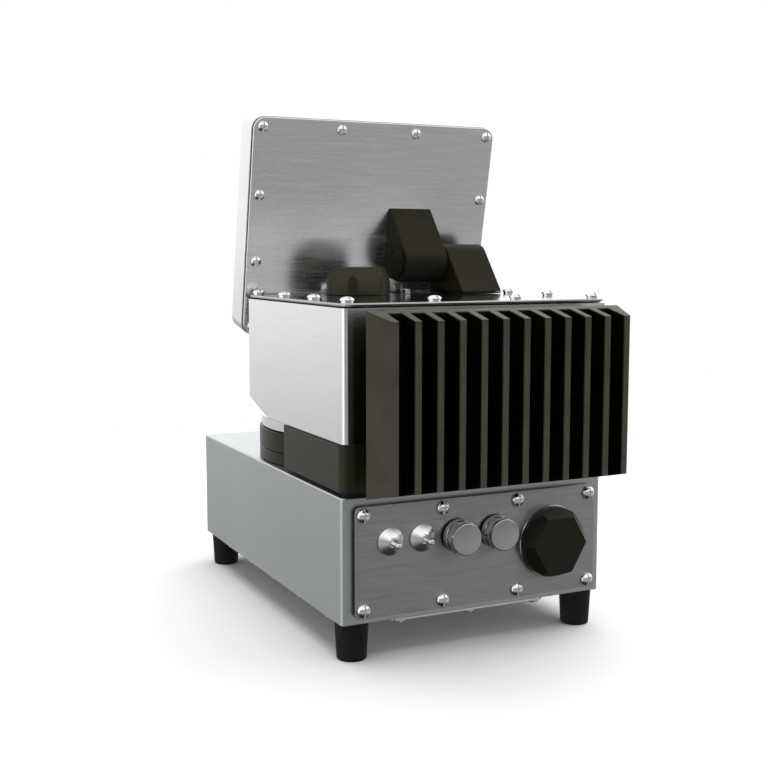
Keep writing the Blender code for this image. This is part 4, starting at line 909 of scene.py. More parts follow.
def copies(master: bmesh.types.BMesh, places: Iterable[Matrix]) -> bmesh.types.BMesh:
    """One shape that holds a copy of the master at each place.

    Args:
        master: The shape to copy. It is freed.
        places: Where the copies go.

    Returns:
        The joined shape.
    """
    mesh = bpy.data.meshes.new("master")
    master.to_mesh(mesh)
    master.free()
    joined = bmesh.new()
    for place in places:
        copy = mesh.copy()
        copy.transform(place)
        joined.from_mesh(copy)
        bpy.data.meshes.remove(copy)
    bpy.data.meshes.remove(mesh)
    return joined


def combined(
    target: bmesh.types.BMesh, tool: bmesh.types.BMesh, operation: Operation
) -> bmesh.types.BMesh:
    """Cut one solid from another, or keep what both share.

    Args:
        target: The solid that stays. It is freed.
        tool: The other solid. It is freed.
        operation: What is done.

    Returns:
        The new solid.
    """
    objects = []
    for name, bm in (("target", target), ("tool", tool)):
        mesh = bpy.data.meshes.new(name)
        bm.to_mesh(mesh)
        bm.free()
        obj = bpy.data.objects.new(name, mesh)
        bpy.context.scene.collection.objects.link(obj)
        objects.append(obj)
    modifier = objects[0].modifiers.new("combine", "BOOLEAN")
    modifier.object = objects[1]
    modifier.operation = operation.value
    modifier.solver = "EXACT"
    bpy.context.view_layer.update()
    graph = bpy.context.evaluated_depsgraph_get()
    result = bpy.data.meshes.new_from_object(objects[0].evaluated_get(graph))
    bm = bmesh.new()
    bm.from_mesh(result)
    bpy.data.meshes.remove(result)
    for obj in objects:
        mesh = obj.data
        bpy.data.objects.remove(obj, do_unlink=True)
        bpy.data.meshes.remove(mesh)
    return bm


def rear_place(x: float, y: float, z: float) -> Matrix:
    """A place whose Z axis points to the rear and whose Y axis points down."""
    return Matrix.Translation((x, y, z)) @ Matrix.Rotation(-math.pi / 2, 4, "X")


# Turns a shape drawn flat so that its depth runs along the width of the analyzer
UPRIGHT = Matrix(((0, 0, 1, 0), (1, 0, 0, 0), (0, 1, 0, 0), (0, 0, 0, 1)))


def hinge_axis() -> Vector:
    """A point of the display's hinge axis, at the middle of the analyzer's width."""
    joint = next(joint for joint in frame["joints"] if joint["name"] == "display_tilt")
    return Vector(joint["pos_m"])


def wrapped(
    start: tuple[float, float], end: tuple[float, float], radius: float, steps: int
) -> list[tuple[float, float]]:
    """The arc round the origin that two tangents run into.

    Args:
        start: The point that the first tangent comes from.
        end: The point that the second tangent runs to.
        radius: The arc's radius.
        steps: How many parts the arc gets.

    Returns:
        The arc's points, anticlockwise.
    """
    first = math.atan2(start[1], start[0]) + math.acos(radius / math.hypot(*start))
    last = math.atan2(end[1], end[0]) - math.acos(radius / math.hypot(*end))
    return arc(radius, first, first + (last - first) % FULL_TURN, steps)


def spread(first: float, last: float, count: int) -> list[float]:
    """Evenly spaced values from first to last."""
    return [first + (last - first) * index / (count - 1) for index in range(count)]


def perimeter(extent: Extent, axes: tuple[Axis, Axis], count: int) -> list[tuple[float, float]]:
    """Points spaced evenly along the four sides of a box's outline.

    Args:
        extent: The box.
        axes: The two axes of the outline.
        count: Points along each side, its corners among them.

    Returns:
        The points as pairs along the two axes.
    """
    first, second = (axis.value for axis in axes)
    columns = spread(extent.low[first], extent.high[first], count)
    rows = spread(extent.low[second], extent.high[second], count)
    ends = (0, count - 1)
    return [
        (column, row)
        for i, column in enumerate(columns)
        for j, row in enumerate(rows)
        if i in ends or j in ends
    ]


def add_piece(
    name: str,
    bm: bmesh.types.BMesh,
    finish: Finish,
    body: Body = Body.ROOT,
    replaces: Sequence[str] = (),
) -> bpy.types.Object:
    """Put a finished piece in the scene, on its body.

    Args:
        name: The piece's name.
        bm: Its shape, in the frame. It is freed.
        finish: Its finish.
        body: The body that it moves with.
        replaces: The CAD nodes that it stands for.

    Returns:
        The piece's object.
    """
    mesh = bpy.data.meshes.new(name)
    bm.to_mesh(mesh)
    bm.free()
    mesh.shade_smooth()
    mesh.set_sharp_from_angle(angle=SHARP_ANGLE)
    mesh.materials.append(finish.material())
    obj = bpy.data.objects.new(name, mesh)
    bpy.context.scene.collection.objects.link(obj)
    even = obj.modifiers.new("even_normals", "WEIGHTED_NORMAL")
    even.keep_sharp = True
    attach(obj, body.value)
    if replaces:
        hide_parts(*replaces)
    LOG.info("%s: %d faces on %s", name, len(mesh.polygons), body.value)
    return obj


def dress_node(node: str, finish: Finish) -> None:
    """Give a CAD node that stays in the scene a finish.

    Args:
        node: The CAD node's name.
        finish: Its finish.
    """
    obj = frame["nodes"][node]
    obj.data.materials.clear()
    obj.data.materials.append(finish.material())
    LOG.info("%s: CAD node in %s", node, finish.name)


@dataclass(frozen=True)
class DomedScrew:
    """A domed, slotted screw head, with its top along +Z.

    A neck lifts the head off its plate where there is one.
    """

    radius: float
    height: float
    rim: float = 0.7 * MM
    edge: float = 0.25 * MM
    neck_radius: float = 0.0
    neck_height: float = 0.0
    slot_width: float = 1 * MM
    slot_depth: float = 1.9 * MM
    steps: int = 32
    dome_steps: int = 7

    def shape(self) -> bmesh.types.BMesh:
        """Model the head with its slot cut.

        Returns:
            The head's shape.
        """
        low = self.neck_height + self.rim
        profile = []
        for step in range(self.dome_steps + 1):
            angle = math.pi / 2 * step / self.dome_steps
            height = low + (self.height - low) * math.cos(angle)
            profile.append((self.radius * math.sin(angle), height))
        profile.append((self.radius, self.neck_height + self.edge))
        profile.append((self.radius - self.edge, self.neck_height))
        if self.neck_height:
            profile += [(self.neck_radius, self.neck_height), (self.neck_radius, 0)]
        profile.append((0, 0))
        reach = 2 * self.radius
        slot = Extent(
            Vector((-self.slot_width / 2, -reach, self.height - self.slot_depth)),
            Vector((self.slot_width / 2, reach, 2 * self.height)),
        )
        return combined(spun(profile, self.steps), box_shape(slot), Operation.CUT)


@dataclass(frozen=True)
class HexCap:
    """A round cap whose upper part is cut to a hexagonal face, with its top along +Z."""

    radius: float
    height: float
    skirt: float
    face_radius: float = 21 * MM
    flat_reach: float = 1.003  # of the drum's radius, where the flats run out on the drum
    edge: float = 0.45 * MM
    ridge_angle: float = math.radians(46)

    def shape(self) -> bmesh.types.BMesh:
        """Model a drum inside a hexagonal pyramid, its ridges softly rounded.

        Returns:
            The cap's shape.
        """
        slope = self.flat_reach * self.radius / math.cos(HALF_SIDE) - self.face_radius
        low = self.face_radius + slope * self.height / (self.height - self.skirt)
        middle = Matrix.Translation((0, 0, self.height / 2))
        pyramid = bmesh.new()
        bmesh.ops.create_cone(
            pyramid,
            cap_ends=True,
            segments=6,
            radius1=low,
            radius2=self.face_radius,
            depth=self.height,
            matrix=middle @ Matrix.Rotation(HALF_SIDE, 4, "Z"),
        )
        reach = self.height + self.skirt
        drum = spun([(0, reach), (self.radius, reach), (self.radius, 0), (0, 0)], LARGE_ROUND_STEPS)
        bm = combined(pyramid, drum, Operation.SHARE)
        round_sharp(bm, self.edge, angle=self.ridge_angle)
        return bm


@dataclass(frozen=True)
class PurgeFitting:
    """A shallow, slightly bulging cone with a stub that stands in a groove at its middle."""

    radius: float = 9.1 * MM
    rim: float = 1.2 * MM
    rise: float = 4 * MM
    bulge: float = 1.35  # 1 would be a straight cone and 2 a dome
    edge: float = 0.3 * MM
    stub: float = 2.1 * MM
    tip: float = 1.2 * MM
    groove: float = 0.6 * MM
    cone_points: int = 14

    def shape(self, reach: float) -> bmesh.types.BMesh:
        """Model the fitting with its tip along +Z.

        Args:
            reach: The height of the stub's tip.

        Returns:
            The fitting's shape.
        """
        stub, tip, groove, radius = self.stub, self.tip, self.groove, self.radius
        floor = self.rim + self.rise - 3 * groove
        end = arc(tip, math.pi / 2, 0, EDGE_STEPS)
        profile = [(0, reach), *((stub - tip + x, reach - tip + z) for x, z in end)]
        profile += [(stub, floor), (stub + groove, floor - groove / 2)]
        for distance in spread(stub + 2 * groove, radius, self.cone_points):
            height = self.rim + self.rise * (1 - (distance / radius) ** self.bulge)
            profile.append((distance, height))
        profile += [(radius, self.edge), (radius - self.edge, 0), (0, 0)]
        return spun(profile, SMALL_ROUND_STEPS)


@dataclass(frozen=True)
class HexPlug:
    """A plug: a round collar, a hexagon with a groove on each side, and a round face."""

    collar: float = 11 * MM
    collar_top: float = 4.2 * MM
    groove: float = 9.6 * MM
    groove_top: float = 5 * MM
    hexagon: float = 11.7 * MM
    flat: float = 10.3 * MM  # from the axis to each side of the hexagon
    face: float = 10.8 * MM
    face_depth: float = 2.2 * MM
    face_chamfer: float = 0.8 * MM
    shoulder: float = 0.2 * MM
    upper_groove: float = 0.5 * MM
    upper_slope: float = 0.3 * MM
    edge: float = 0.35 * MM
    steps: int = 144

    def shape(self, reach: float) -> bmesh.types.BMesh:
        """Model the plug with its face along +Z.

        Args:
            reach: The height of its face.

        Returns:
            The plug's shape.
        """
        edge, face, groove = self.edge, self.face, self.groove
        hexagon, collar = self.hexagon, self.collar
        low, top = self.groove_top, reach - self.face_depth
        hex_top = top - self.upper_groove
        profile = [(0, reach), (face - self.face_chamfer, reach), (face - self.shoulder, reach - edge)]
        profile += [(face, reach - self.face_chamfer), (face, top + edge), (face - edge, top)]
        profile += [(groove, top), (groove, hex_top), (hexagon, hex_top - self.upper_slope)]
        profile += [(hexagon, low + edge), (hexagon - edge, low), (groove, low)]
        profile += [(groove, self.collar_top), (collar - edge, self.collar_top)]
        profile += [(collar, self.collar_top - edge), (collar, edge), (collar - edge, 0), (0, 0)]
        bm = spun(profile, self.steps)
        for vert in bm.verts:
            distance = math.hypot(vert.co.x, vert.co.y)
            beside = math.atan2(vert.co.y, vert.co.x) % (2 * HALF_SIDE) - HALF_SIDE
            limit = self.flat / math.cos(beside)
            if low - MERGE < vert.co.z < top - MERGE and distance > limit:
                vert.co.x *= limit / distance
                vert.co.y *= limit / distance
        return bm


# Sub-assemblies


@dataclass
class BaseHousing:
    """The blasted steel base with its bottom cover and its four rubber feet."""

    corner: float = 3 * MM
    top_edge: float = 1.2 * MM
    top_segments: int = 4
    low_edge: float = 0.6 * MM
    wall: float = 4 * MM
    rear_margin: float = 19.3 * MM
    rear_sill: float = 15.44 * MM
    cover_tongue: float = 58.5 * MM
    cover_corner: float = 3 * MM
    cover_edge: float = 0.5 * MM
    notch_margin: float = 4 * MM
    screw_inset: float = 5.4 * MM
    side_screw_margin: float = 13.2 * MM
    end_screws: int = 3
    side_screws: int = 5
    screw: DomedScrew = DomedScrew(4.6 * MM, 2.5 * MM)
    foot_height: float = 25.2 * MM
    foot_top: float = 11.3 * MM
    foot_chamfer: float = 0.5 * MM
    foot_low: float = 10.1 * MM
    foot_edge: float = 1.6 * MM
    foot_recess: float = 4.4 * MM
    foot_recess_depth: float = 2 * MM
    foot_recess_draft: float = 0.6 * MM
    foot_steps: int = 48

    def build(self) -> None:
        """Build the base's pieces."""
        self.housing()
        self.bottom_cover()
        for node in ("foot_rear_left", "foot_rear_right", "foot_front_left", "foot_front_right"):
            self.foot(node)
        dress_node("bottom_cover_seal", RUBBER)

    def housing(self) -> None:
        """The housing: rounded corners and top edge, hollow, open at the rear."""
        outer = Extent.of("base_housing")
        bm = box_shape(outer)
        round_edges(bm, along(Axis.Z), self.corner, CORNER_SEGMENTS)
        round_edges(bm, at_level(Axis.Z, outer.high.z), self.top_edge, self.top_segments)
        round_edges(bm, at_level(Axis.Z, outer.low.z), self.low_edge, FINE_SEGMENTS)
        bm = combined(bm, box_shape(outer.inset(*(self.wall,) * 3)), Operation.CUT)
        opening = outer.inset(self.rear_margin, 0, self.rear_sill)
        opening.low.y = outer.high.y - 2 * self.wall
        opening.high.y = outer.high.y + self.wall
        bm = combined(bm, box_shape(opening), Operation.CUT)
        add_piece("base_shell", bm, HOUSING, replaces=["base_housing"])

    def cover_outline(self) -> list[Vector]:
        """Work out the bottom cover's outline, notched round the feet.

        Returns:
            The outline's points.
        """
        cover = Extent.of("bottom_cover")
        rear_notch = Extent.of("foot_rear_left").low.y - self.notch_margin
        front_notch = Extent.of("foot_front_left").high.y + self.notch_margin
        side, tongue = cover.high.x, self.cover_tongue
        corners = [(-tongue, cover.high.y), (-tongue, rear_notch), (-side, rear_notch)]
        corners += [(-side, front_notch), (-tongue, front_notch), (-tongue, cover.low.y)]
        corners += [(-x, y) for x, y in reversed(corners)]
        return rounded(corners, self.cover_corner)

    def cover_screws(self) -> list[tuple[float, float]]:
        """Work out where the bottom cover's screws are, at its ends and along its sides.

        Returns:
            The screws' places as (x, y).
        """
        cover = Extent.of("bottom_cover").inset(self.screw_inset, self.screw_inset, 0)
        tongue = self.cover_tongue - self.screw_inset
        reach = self.notch_margin + self.side_screw_margin
        rows = spread(
            Extent.of("foot_front_left").high.y + reach,
            Extent.of("foot_rear_left").low.y - reach,
            self.side_screws,
        )
        columns = spread(-tongue, tongue, self.end_screws)
        points = [(x, y) for x in columns for y in (cover.low.y, cover.high.y)]
        return points + [(x, y) for x in (cover.low.x, cover.high.x) for y in rows]

    def bottom_cover(self) -> None:
        """The bottom cover's plate and its screws."""
        cover = Extent.of("bottom_cover")
        low = cover.low.z + self.screw.height
        bm = extruded(self.cover_outline(), cover.high.z - low)
        round_sharp(bm, self.cover_edge, FINE_SEGMENTS)
        placed(bm, Matrix.Translation((0, 0, low)))
        add_piece("bottom_plate", bm, HEAD, replaces=["bottom_cover"])
        flip = Matrix.Rotation(math.pi, 4, "X")
        places = [Matrix.Translation((x, y, low)) @ flip for x, y in self.cover_screws()]
        add_piece("bottom_plate_screws", copies(self.screw.shape(), places), DOMED)

    def foot(self, node: str) -> None:
        """A conical rubber foot with a rounded lower edge and a recess under it.

        Args:
            node: The foot's CAD node.
        """
        top, height, edge = self.foot_top, self.foot_height, self.foot_edge
        recess, depth = self.foot_recess, self.foot_recess_depth
        profile = [(0, height), (top - self.foot_chamfer, height), (top, height - self.foot_chamfer)]
        for x, z in arc(edge, 0, -math.pi / 2, EDGE_STEPS):
            profile.append((self.foot_low - edge + x, edge + z))
        profile += [(recess + self.foot_recess_draft, 0), (recess, depth), (0, depth)]
        extent = Extent.of(node)
        place = Matrix.Translation((extent.centre.x, extent.centre.y, extent.low.z))
        bm = placed(spun(profile, self.foot_steps), place)
        add_piece("rubber_" + node, bm, RUBBER, replaces=[node])


@dataclass
class RearPanel:
    """The brushed rear panel with its screws, fittings, plugs and socket cap."""

    corner: float = 4 * MM
    plate_edge: float = 0.4 * MM
    screws: int = 8
    screw: DomedScrew = DomedScrew(4.6 * MM, 3.3 * MM)
    fitting: PurgeFitting = PurgeFitting()
    plug: HexPlug = HexPlug()
    seal_bore: float = 7.4 * MM
    seal_steps: int = 8
    ring_bore: float = 18.3 * MM
    ring_edge: float = 0.4 * MM
    cap_skirt: float = 2.5 * MM

    def build(self) -> None:
        """Build the rear panel's pieces."""
        bm = box_shape(Extent.of("rear_panel"))
        round_edges(bm, along(Axis.Y), self.corner, CORNER_SEGMENTS)
        round_sharp(bm, self.plate_edge, FINE_SEGMENTS)
        add_piece("panel_plate", bm, PANEL, replaces=["rear_panel"])
        dress_node("rear_panel_seal", RUBBER)
        for number in range(1, self.screws + 1):
            self.panel_screw(f"rear_panel_screw_{number}")
        for node in ("purge_fitting_1", "purge_fitting_2"):
            self.purge_fitting(node)
        for number in (1, 2):
            self.plug_seal(f"plug_seal_{number}")
            self.hex_plug(f"hex_plug_{number}", f"plug_seal_{number}")
        self.cap_ring()
        self.socket_cap()

    def seated(self, node: str, under: str) -> tuple[Matrix, float]:
        """Find where a fitting starts on what is under it, and how far it reaches.

        Args:
            node: The fitting's CAD node.
            under: The CAD node that it seats on.

        Returns:
            Its place and its reach towards the rear.
        """
        extent = Extent.of(node)
        start = Extent.of(under).high.y + SEAT
        place = rear_place(extent.centre.x, start, extent.centre.z)
        return place, extent.high.y - start

    def panel_screw(self, node: str) -> None:
        """One of the panel's slotted screws.

        Args:
            node: The screw's CAD node.
        """
        place, _ = self.seated(node, "rear_panel")
        bm = placed(self.screw.shape(), place)
        add_piece(node.replace("rear_panel", "slotted"), bm, DOMED, replaces=[node])

    def purge_fitting(self, node: str) -> None:
        """One of the two fittings for dry air.

        Args:
            node: The fitting's CAD node.
        """
        place, reach = self.seated(node, "rear_panel")
        add_piece("domed_" + node, placed(self.fitting.shape(reach), place), CONED, replaces=[node])

    def plug_seal(self, node: str) -> None:
        """A black ring of round section under a plug.

        Args:
            node: The seal's CAD node.
        """
        extent = Extent.of(node)
        height, radius = extent.size.y, extent.size.x / 2
        rim = height / 2
        outer = arc(rim, math.pi / 2, -math.pi / 2, self.seal_steps)
        section = [(radius - rim + x, rim + z) for x, z in outer]
        section += [(self.seal_bore, 0), (self.seal_bore, height)]
        place = rear_place(extent.centre.x, extent.low.y, extent.centre.z)
        bm = placed(spun(section, SMALL_ROUND_STEPS, True), place)
        add_piece("ring_" + node, bm, RUBBER, replaces=[node])

    def hex_plug(self, node: str, seal: str) -> None:
        """One of the two hexagonal plugs.

        Args:
            node: The plug's CAD node.
            seal: The CAD node of the seal under it.
        """
        place, reach = self.seated(node, seal)
        bm = placed(self.plug.shape(reach), place)
        add_piece("round_faced_" + node, bm, TURNED, replaces=[node])

    def cap_ring(self) -> None:
        """The pale ring that the black cap sits on."""
        ring = Extent.of("socket_cap_ring")
        radius, height, edge, bore = ring.size.x / 2, ring.size.y, self.ring_edge, self.ring_bore
        section = [(radius - edge, height), (radius, height - edge), (radius, edge)]
        section += [(radius - edge, 0), (bore, 0), (bore, height)]
        place = rear_place(ring.centre.x, ring.low.y, ring.centre.z)
        bm = placed(spun(section, ROUND_STEPS, True), place)
        add_piece("cap_ring", bm, TURNED, replaces=["socket_cap_ring"])

    def socket_cap(self) -> None:
        """The black hexagonal cap over the socket."""
        place, reach = self.seated("socket_cap", "socket_cap_ring")
        cap = HexCap(Extent.of("socket_cap").size.x / 2, reach, self.cap_skirt)
        bm = placed(cap.shape(), place)
        add_piece("hexagonal_socket_cap", bm, CAP, replaces=["socket_cap"])


@dataclass
class Turntable:
    """The fixed ring, the turning table and the sample dish."""

    chamfer: float = 0.6 * MM
    ring_bore: float = 16.4 * MM
    boss: float = 20 * MM
    boss_height: float = 2 * MM
    spindle_bore: float = 5.4 * MM
    spindle_depth: float = 9 * MM
    dish_wall: float = 1.5 * MM
    dish_floor: float = 1.5 * MM
    dish_recess: float = 20.3 * MM
    dish_rise: float = 2.3 * MM
    dish_edge: float = 0.8 * MM
    dish_fillet: float = 2.4 * MM
    rim_steps: int = 8

    def build(self) -> None:
        """Build the rings and the dish, and dress the parts inside them."""
        self.fixed_ring()
        self.table()
        self.dish()
        dress_node("spindle_bearing", POLISHED)
        dress_node("turntable_spindle", POLISHED)
        dress_node("drive_motor", ANODISED)

    def axis(self) -> Matrix:
        """The turntable's axis as a place at height zero."""
        centre = Extent.of("turntable").centre
        return Matrix.Translation((centre.x, centre.y, 0))

    def fixed_ring(self) -> None:
        """The ring on the base that carries the bearing."""
        extent = Extent.of("turntable_base_ring")
        low, high, radius = extent.low.z, extent.high.z, extent.size.x / 2
        edge, bore = self.chamfer, self.ring_bore
        section = [(radius - edge, high), (radius, high - edge), (radius, low + edge)]
        section += [(radius - edge, low), (bore, low), (bore, high)]
        bm = placed(spun(section, LARGE_ROUND_STEPS, True), self.axis())
        add_piece("fixed_ring", bm, ANODISED, replaces=["turntable_base_ring"])

    def table(self) -> None:
        """The turning table, with the boss that centres the dish."""
        extent = Extent.of("turntable")
        low, top, radius = extent.low.z, extent.high.z - self.boss_height, extent.size.x / 2
        edge, boss, bore, peak = self.chamfer, self.boss, self.spindle_bore, extent.high.z
        profile = [(0, peak), (boss - edge, peak), (boss, peak - edge), (boss, top)]
        profile += [(radius - edge, top), (radius - edge / 3, top - edge / 3), (radius, top - edge)]
        profile += [(radius, low + edge), (radius - edge, low), (bore, low)]
        profile += [(bore, low + self.spindle_depth), (0, low + self.spindle_depth)]
        bm = placed(spun(profile, LARGE_ROUND_STEPS), self.axis())
        add_piece("turning_table", bm, ANODISED, Body.TURNTABLE, ["turntable"])

    def dish(self) -> None:
        """The shallow dish with a rolled rim and a raised middle over the table's boss."""
        extent = Extent.of("sample_dish")
        low, top, radius = extent.low.z, extent.high.z, extent.size.x / 2
        edge, fillet, roll, recess = self.dish_edge, self.dish_fillet, self.dish_wall / 2, self.dish_recess
        floor, under = low + self.dish_floor, low + self.dish_rise - SEAT
        island, island_top = recess + self.dish_wall, floor + self.dish_rise
        inner = radius - self.dish_wall - fillet
        profile = [(0, island_top), (island - edge, island_top), (island, island_top - edge)]
        profile.append((island, floor))
        for x, z in arc(fillet, -math.pi / 2, 0, EDGE_STEPS):
            profile.append((inner + x, floor + fillet + z))
        for x, z in arc(roll, math.pi, 0, self.rim_steps):
            profile.append((radius - roll + x, top - roll + z))
        profile += [(radius, low + edge), (radius - edge, low), (recess, low)]
        profile += [(recess, under), (0, under)]
        bm = placed(spun(profile, LARGE_ROUND_STEPS), self.axis())
        add_piece("turned_dish", bm, POLISHED, Body.TURNTABLE, ["sample_dish"])


@dataclass
class SupportBlock:
    """The black block that carries the head, hollowed round the turntable."""

    rear_corner: float = 9 * MM
    corner_steps: int = 12
    edge: float = 0.8 * MM
    fine_edge: float = 0.4 * MM
    ring_gap: float = 1.2 * MM
    hollow_steps: int = 64

    def build(self) -> None:
        """Build the block and dress its seal."""
        block = Extent.of("support_block")
        ring = Extent.of("turntable_base_ring")
        radius, centre = ring.size.x / 2 + self.ring_gap, ring.centre.y
        half, front, rear = block.high.x, block.low.y, block.high.y
        start = math.asin((front - centre) / radius)
        hollow = arc(radius, start, math.pi - start, self.hollow_steps)
        outline = [(half, front), *((x, centre + y) for x, y in hollow), (-half, front)]
        corner = self.rear_corner
        turn = arc(corner, math.pi, math.pi / 2, self.corner_steps)
        left = [(corner - half + x, rear - corner + y) for x, y in turn]
        right = [(-x, y) for x, y in reversed(left)]
        bm = extruded([*outline, *left, *right], block.size.z)
        round_edges(bm, at_level(Axis.Z, 0), self.edge, EDGE_SEGMENTS)
        round_sharp(bm, self.fine_edge, FINE_SEGMENTS)
        placed(bm, Matrix.Translation((0, 0, block.low.z)))
        add_piece("carrying_block", bm, ANODISED, replaces=["support_block"])
        dress_node("support_seal", RUBBER)


@dataclass
class MeasuringHead:
    """The measuring head: housing, lid with screws, lamp cap and earth screw."""

    corner: float = 3.5 * MM
    wall: float = 5 * MM
    chamfer_length: float = 41.6 * MM
    chamfer_rise: float = 12.9 * MM
    edge: float = 0.9 * MM
    window_bore: float = 27 * MM
    lid_plate: float = 1.4 * MM
    lid_corner: float = 7.5 * MM
    lid_edge: float = 0.9 * MM
    lid_edge_segments: int = 5
    side_inset: float = 6.7 * MM
    front_inset: float = 7 * MM
    rear_inset: float = 8.95 * MM
    lamp_cap_skirt: float = 8 * MM
    lamp_cap_turn: float = math.radians(-4)
    earth_screw_rim: float = 3.2 * MM
    seal_height: float = 0.6 * MM
    seal_inset: float = 0.3 * MM
    screws_a_side: int = 4
    screw: DomedScrew = DomedScrew(4.6 * MM, 4.1 * MM, neck_radius=3.9 * MM, neck_height=1.2 * MM)

    def build(self) -> None:
        """Build the head's pieces and dress the parts inside it."""
        self.housing()
        self.lid()
        self.lamp_cap()
        self.earth_screw()
        self.lid_seal()
        dress_node("lamp_holder", BRASS)
        dress_node("lamp", ALUMINIUM)
        dress_node("measuring_window", CLEAR_GLASS)
        dress_node("window_retainer", ALUMINIUM)
        dress_node("spectrometer_module", ALUMINIUM)
        dress_node("main_board", BOARD)

    def form(self, extent: Extent, corner: float, floor: float) -> bmesh.types.BMesh:
        """Model the head's form: a box with rounded corners, cut off below its front.

        Args:
            extent: The box.
            corner: Radius of its upright corners.
            floor: How far the box's lower face lies above the head's.

        Returns:
            The closed form.
        """
        bm = box_shape(extent)
        round_edges(bm, along(Axis.Z), corner, CORNER_SEGMENTS)
        head = Extent.of("head_housing")
        slope = Vector((0, -self.chamfer_rise, -self.chamfer_length)).normalized()
        start = Vector((0, head.low.y + self.chamfer_length, head.low.z)) - slope * floor
        geometry = bm.verts[:] + bm.edges[:] + bm.faces[:]
        bmesh.ops.bisect_plane(bm, geom=geometry, plane_co=start, plane_no=slope, clear_outer=True)
        rim = [edge for edge in bm.edges if edge.is_boundary]
        bmesh.ops.holes_fill(bm, edges=rim)
        bmesh.ops.recalc_face_normals(bm, faces=bm.faces)
        return bm

    def housing(self) -> None:
        """The head's housing, hollow, with a bore for the window in its floor."""
        outer = Extent.of("head_housing")
        bm = self.form(outer, self.corner, 0)
        below = outer.high.z - MERGE
        low_edges = [
            edge
            for edge in bm.edges
            if edge.calc_face_angle(0) > SHARP_ANGLE and max(v.co.z for v in edge.verts) < below
        ]
        bevel(bm, low_edges, self.edge, EDGE_SEGMENTS)
        inner = outer.inset(self.wall, self.wall, self.wall)
        bm = combined(bm, self.form(inner, self.corner, self.wall), Operation.CUT)
        bore, reach = self.window_bore, 2 * self.wall
        cutter = spun([(0, reach), (bore, reach), (bore, 0), (0, 0)])
        window = Extent.of("measuring_window").centre
        place = Matrix.Translation((window.x, window.y, outer.low.z - OVERSHOOT))
        bm = combined(bm, placed(cutter, place), Operation.CUT)
        add_piece("head_shell", bm, HEAD, replaces=["head_housing"])

    def lid(self) -> None:
        """The polished lid and the screws along its four sides."""
        plate = Extent.of("lid")
        top = plate.low.z + self.lid_plate
        plate.low.z = Extent.of("lid_seal").low.z + self.seal_height
        plate.high.z = top
        bm = box_shape(plate)
        round_edges(bm, along(Axis.Z), self.lid_corner, CORNER_SEGMENTS)
        round_sharp(bm, self.lid_edge, self.lid_edge_segments)
        add_piece("lid_plate", bm, MIRROR, replaces=["lid"])
        low = Vector((plate.low.x + self.side_inset, plate.low.y + self.front_inset, top))
        high = Vector((plate.high.x - self.side_inset, plate.high.y - self.rear_inset, top))
        points = perimeter(Extent(low, high), (Axis.X, Axis.Y), self.screws_a_side)
        places = [Matrix.Translation((x, y, top)) for x, y in points]
        add_piece("lid_screws", copies(self.screw.shape(), places), DOMED)

    def lid_seal(self) -> None:
        """The flat seal between the head and its lid, a little inside their edges."""
        extent = Extent.of("lid_seal").inset(self.seal_inset, self.seal_inset, 0)
        extent.high.z = extent.low.z + self.seal_height
        bm = box_shape(extent)
        round_edges(bm, along(Axis.Z), self.lid_corner, CORNER_SEGMENTS)
        hole = extent.inset(self.wall, self.wall, -self.seal_height)
        bm = combined(bm, box_shape(hole), Operation.CUT)
        add_piece("flat_lid_seal", bm, RUBBER, replaces=["lid_seal"])

    def on_lid(self, node: str) -> tuple[Matrix, float]:
        """Find where a piece starts on the lid, and how far it reaches.

        Args:
            node: The piece's CAD node.

        Returns:
            Its place and its height.
        """
        extent = Extent.of(node)
        start = Extent.of("lid").low.z + self.lid_plate + SEAT
        place = Matrix.Translation((extent.centre.x, extent.centre.y, start))
        return place, extent.high.z - start

    def lamp_cap(self) -> None:
        """The black hexagonal cap over the lamp."""
        place, height = self.on_lid("lamp_cap")
        cap = HexCap(Extent.of("lamp_cap").size.x / 2, height, self.lamp_cap_skirt)
        bm = placed(cap.shape(), place @ Matrix.Rotation(self.lamp_cap_turn, 4, "Z"))
        add_piece("hexagonal_lamp_cap", bm, LAMP_CAP, replaces=["lamp_cap"])

    def earth_screw(self) -> None:
        """A small cheese-head screw with a slot."""
        place, height = self.on_lid("earth_screw")
        radius = Extent.of("earth_screw").size.x / 2
        bm = placed(DomedScrew(radius, height, rim=self.earth_screw_rim).shape(), place)
        add_piece("slotted_earth_screw", bm, POLISHED, replaces=["earth_screw"])


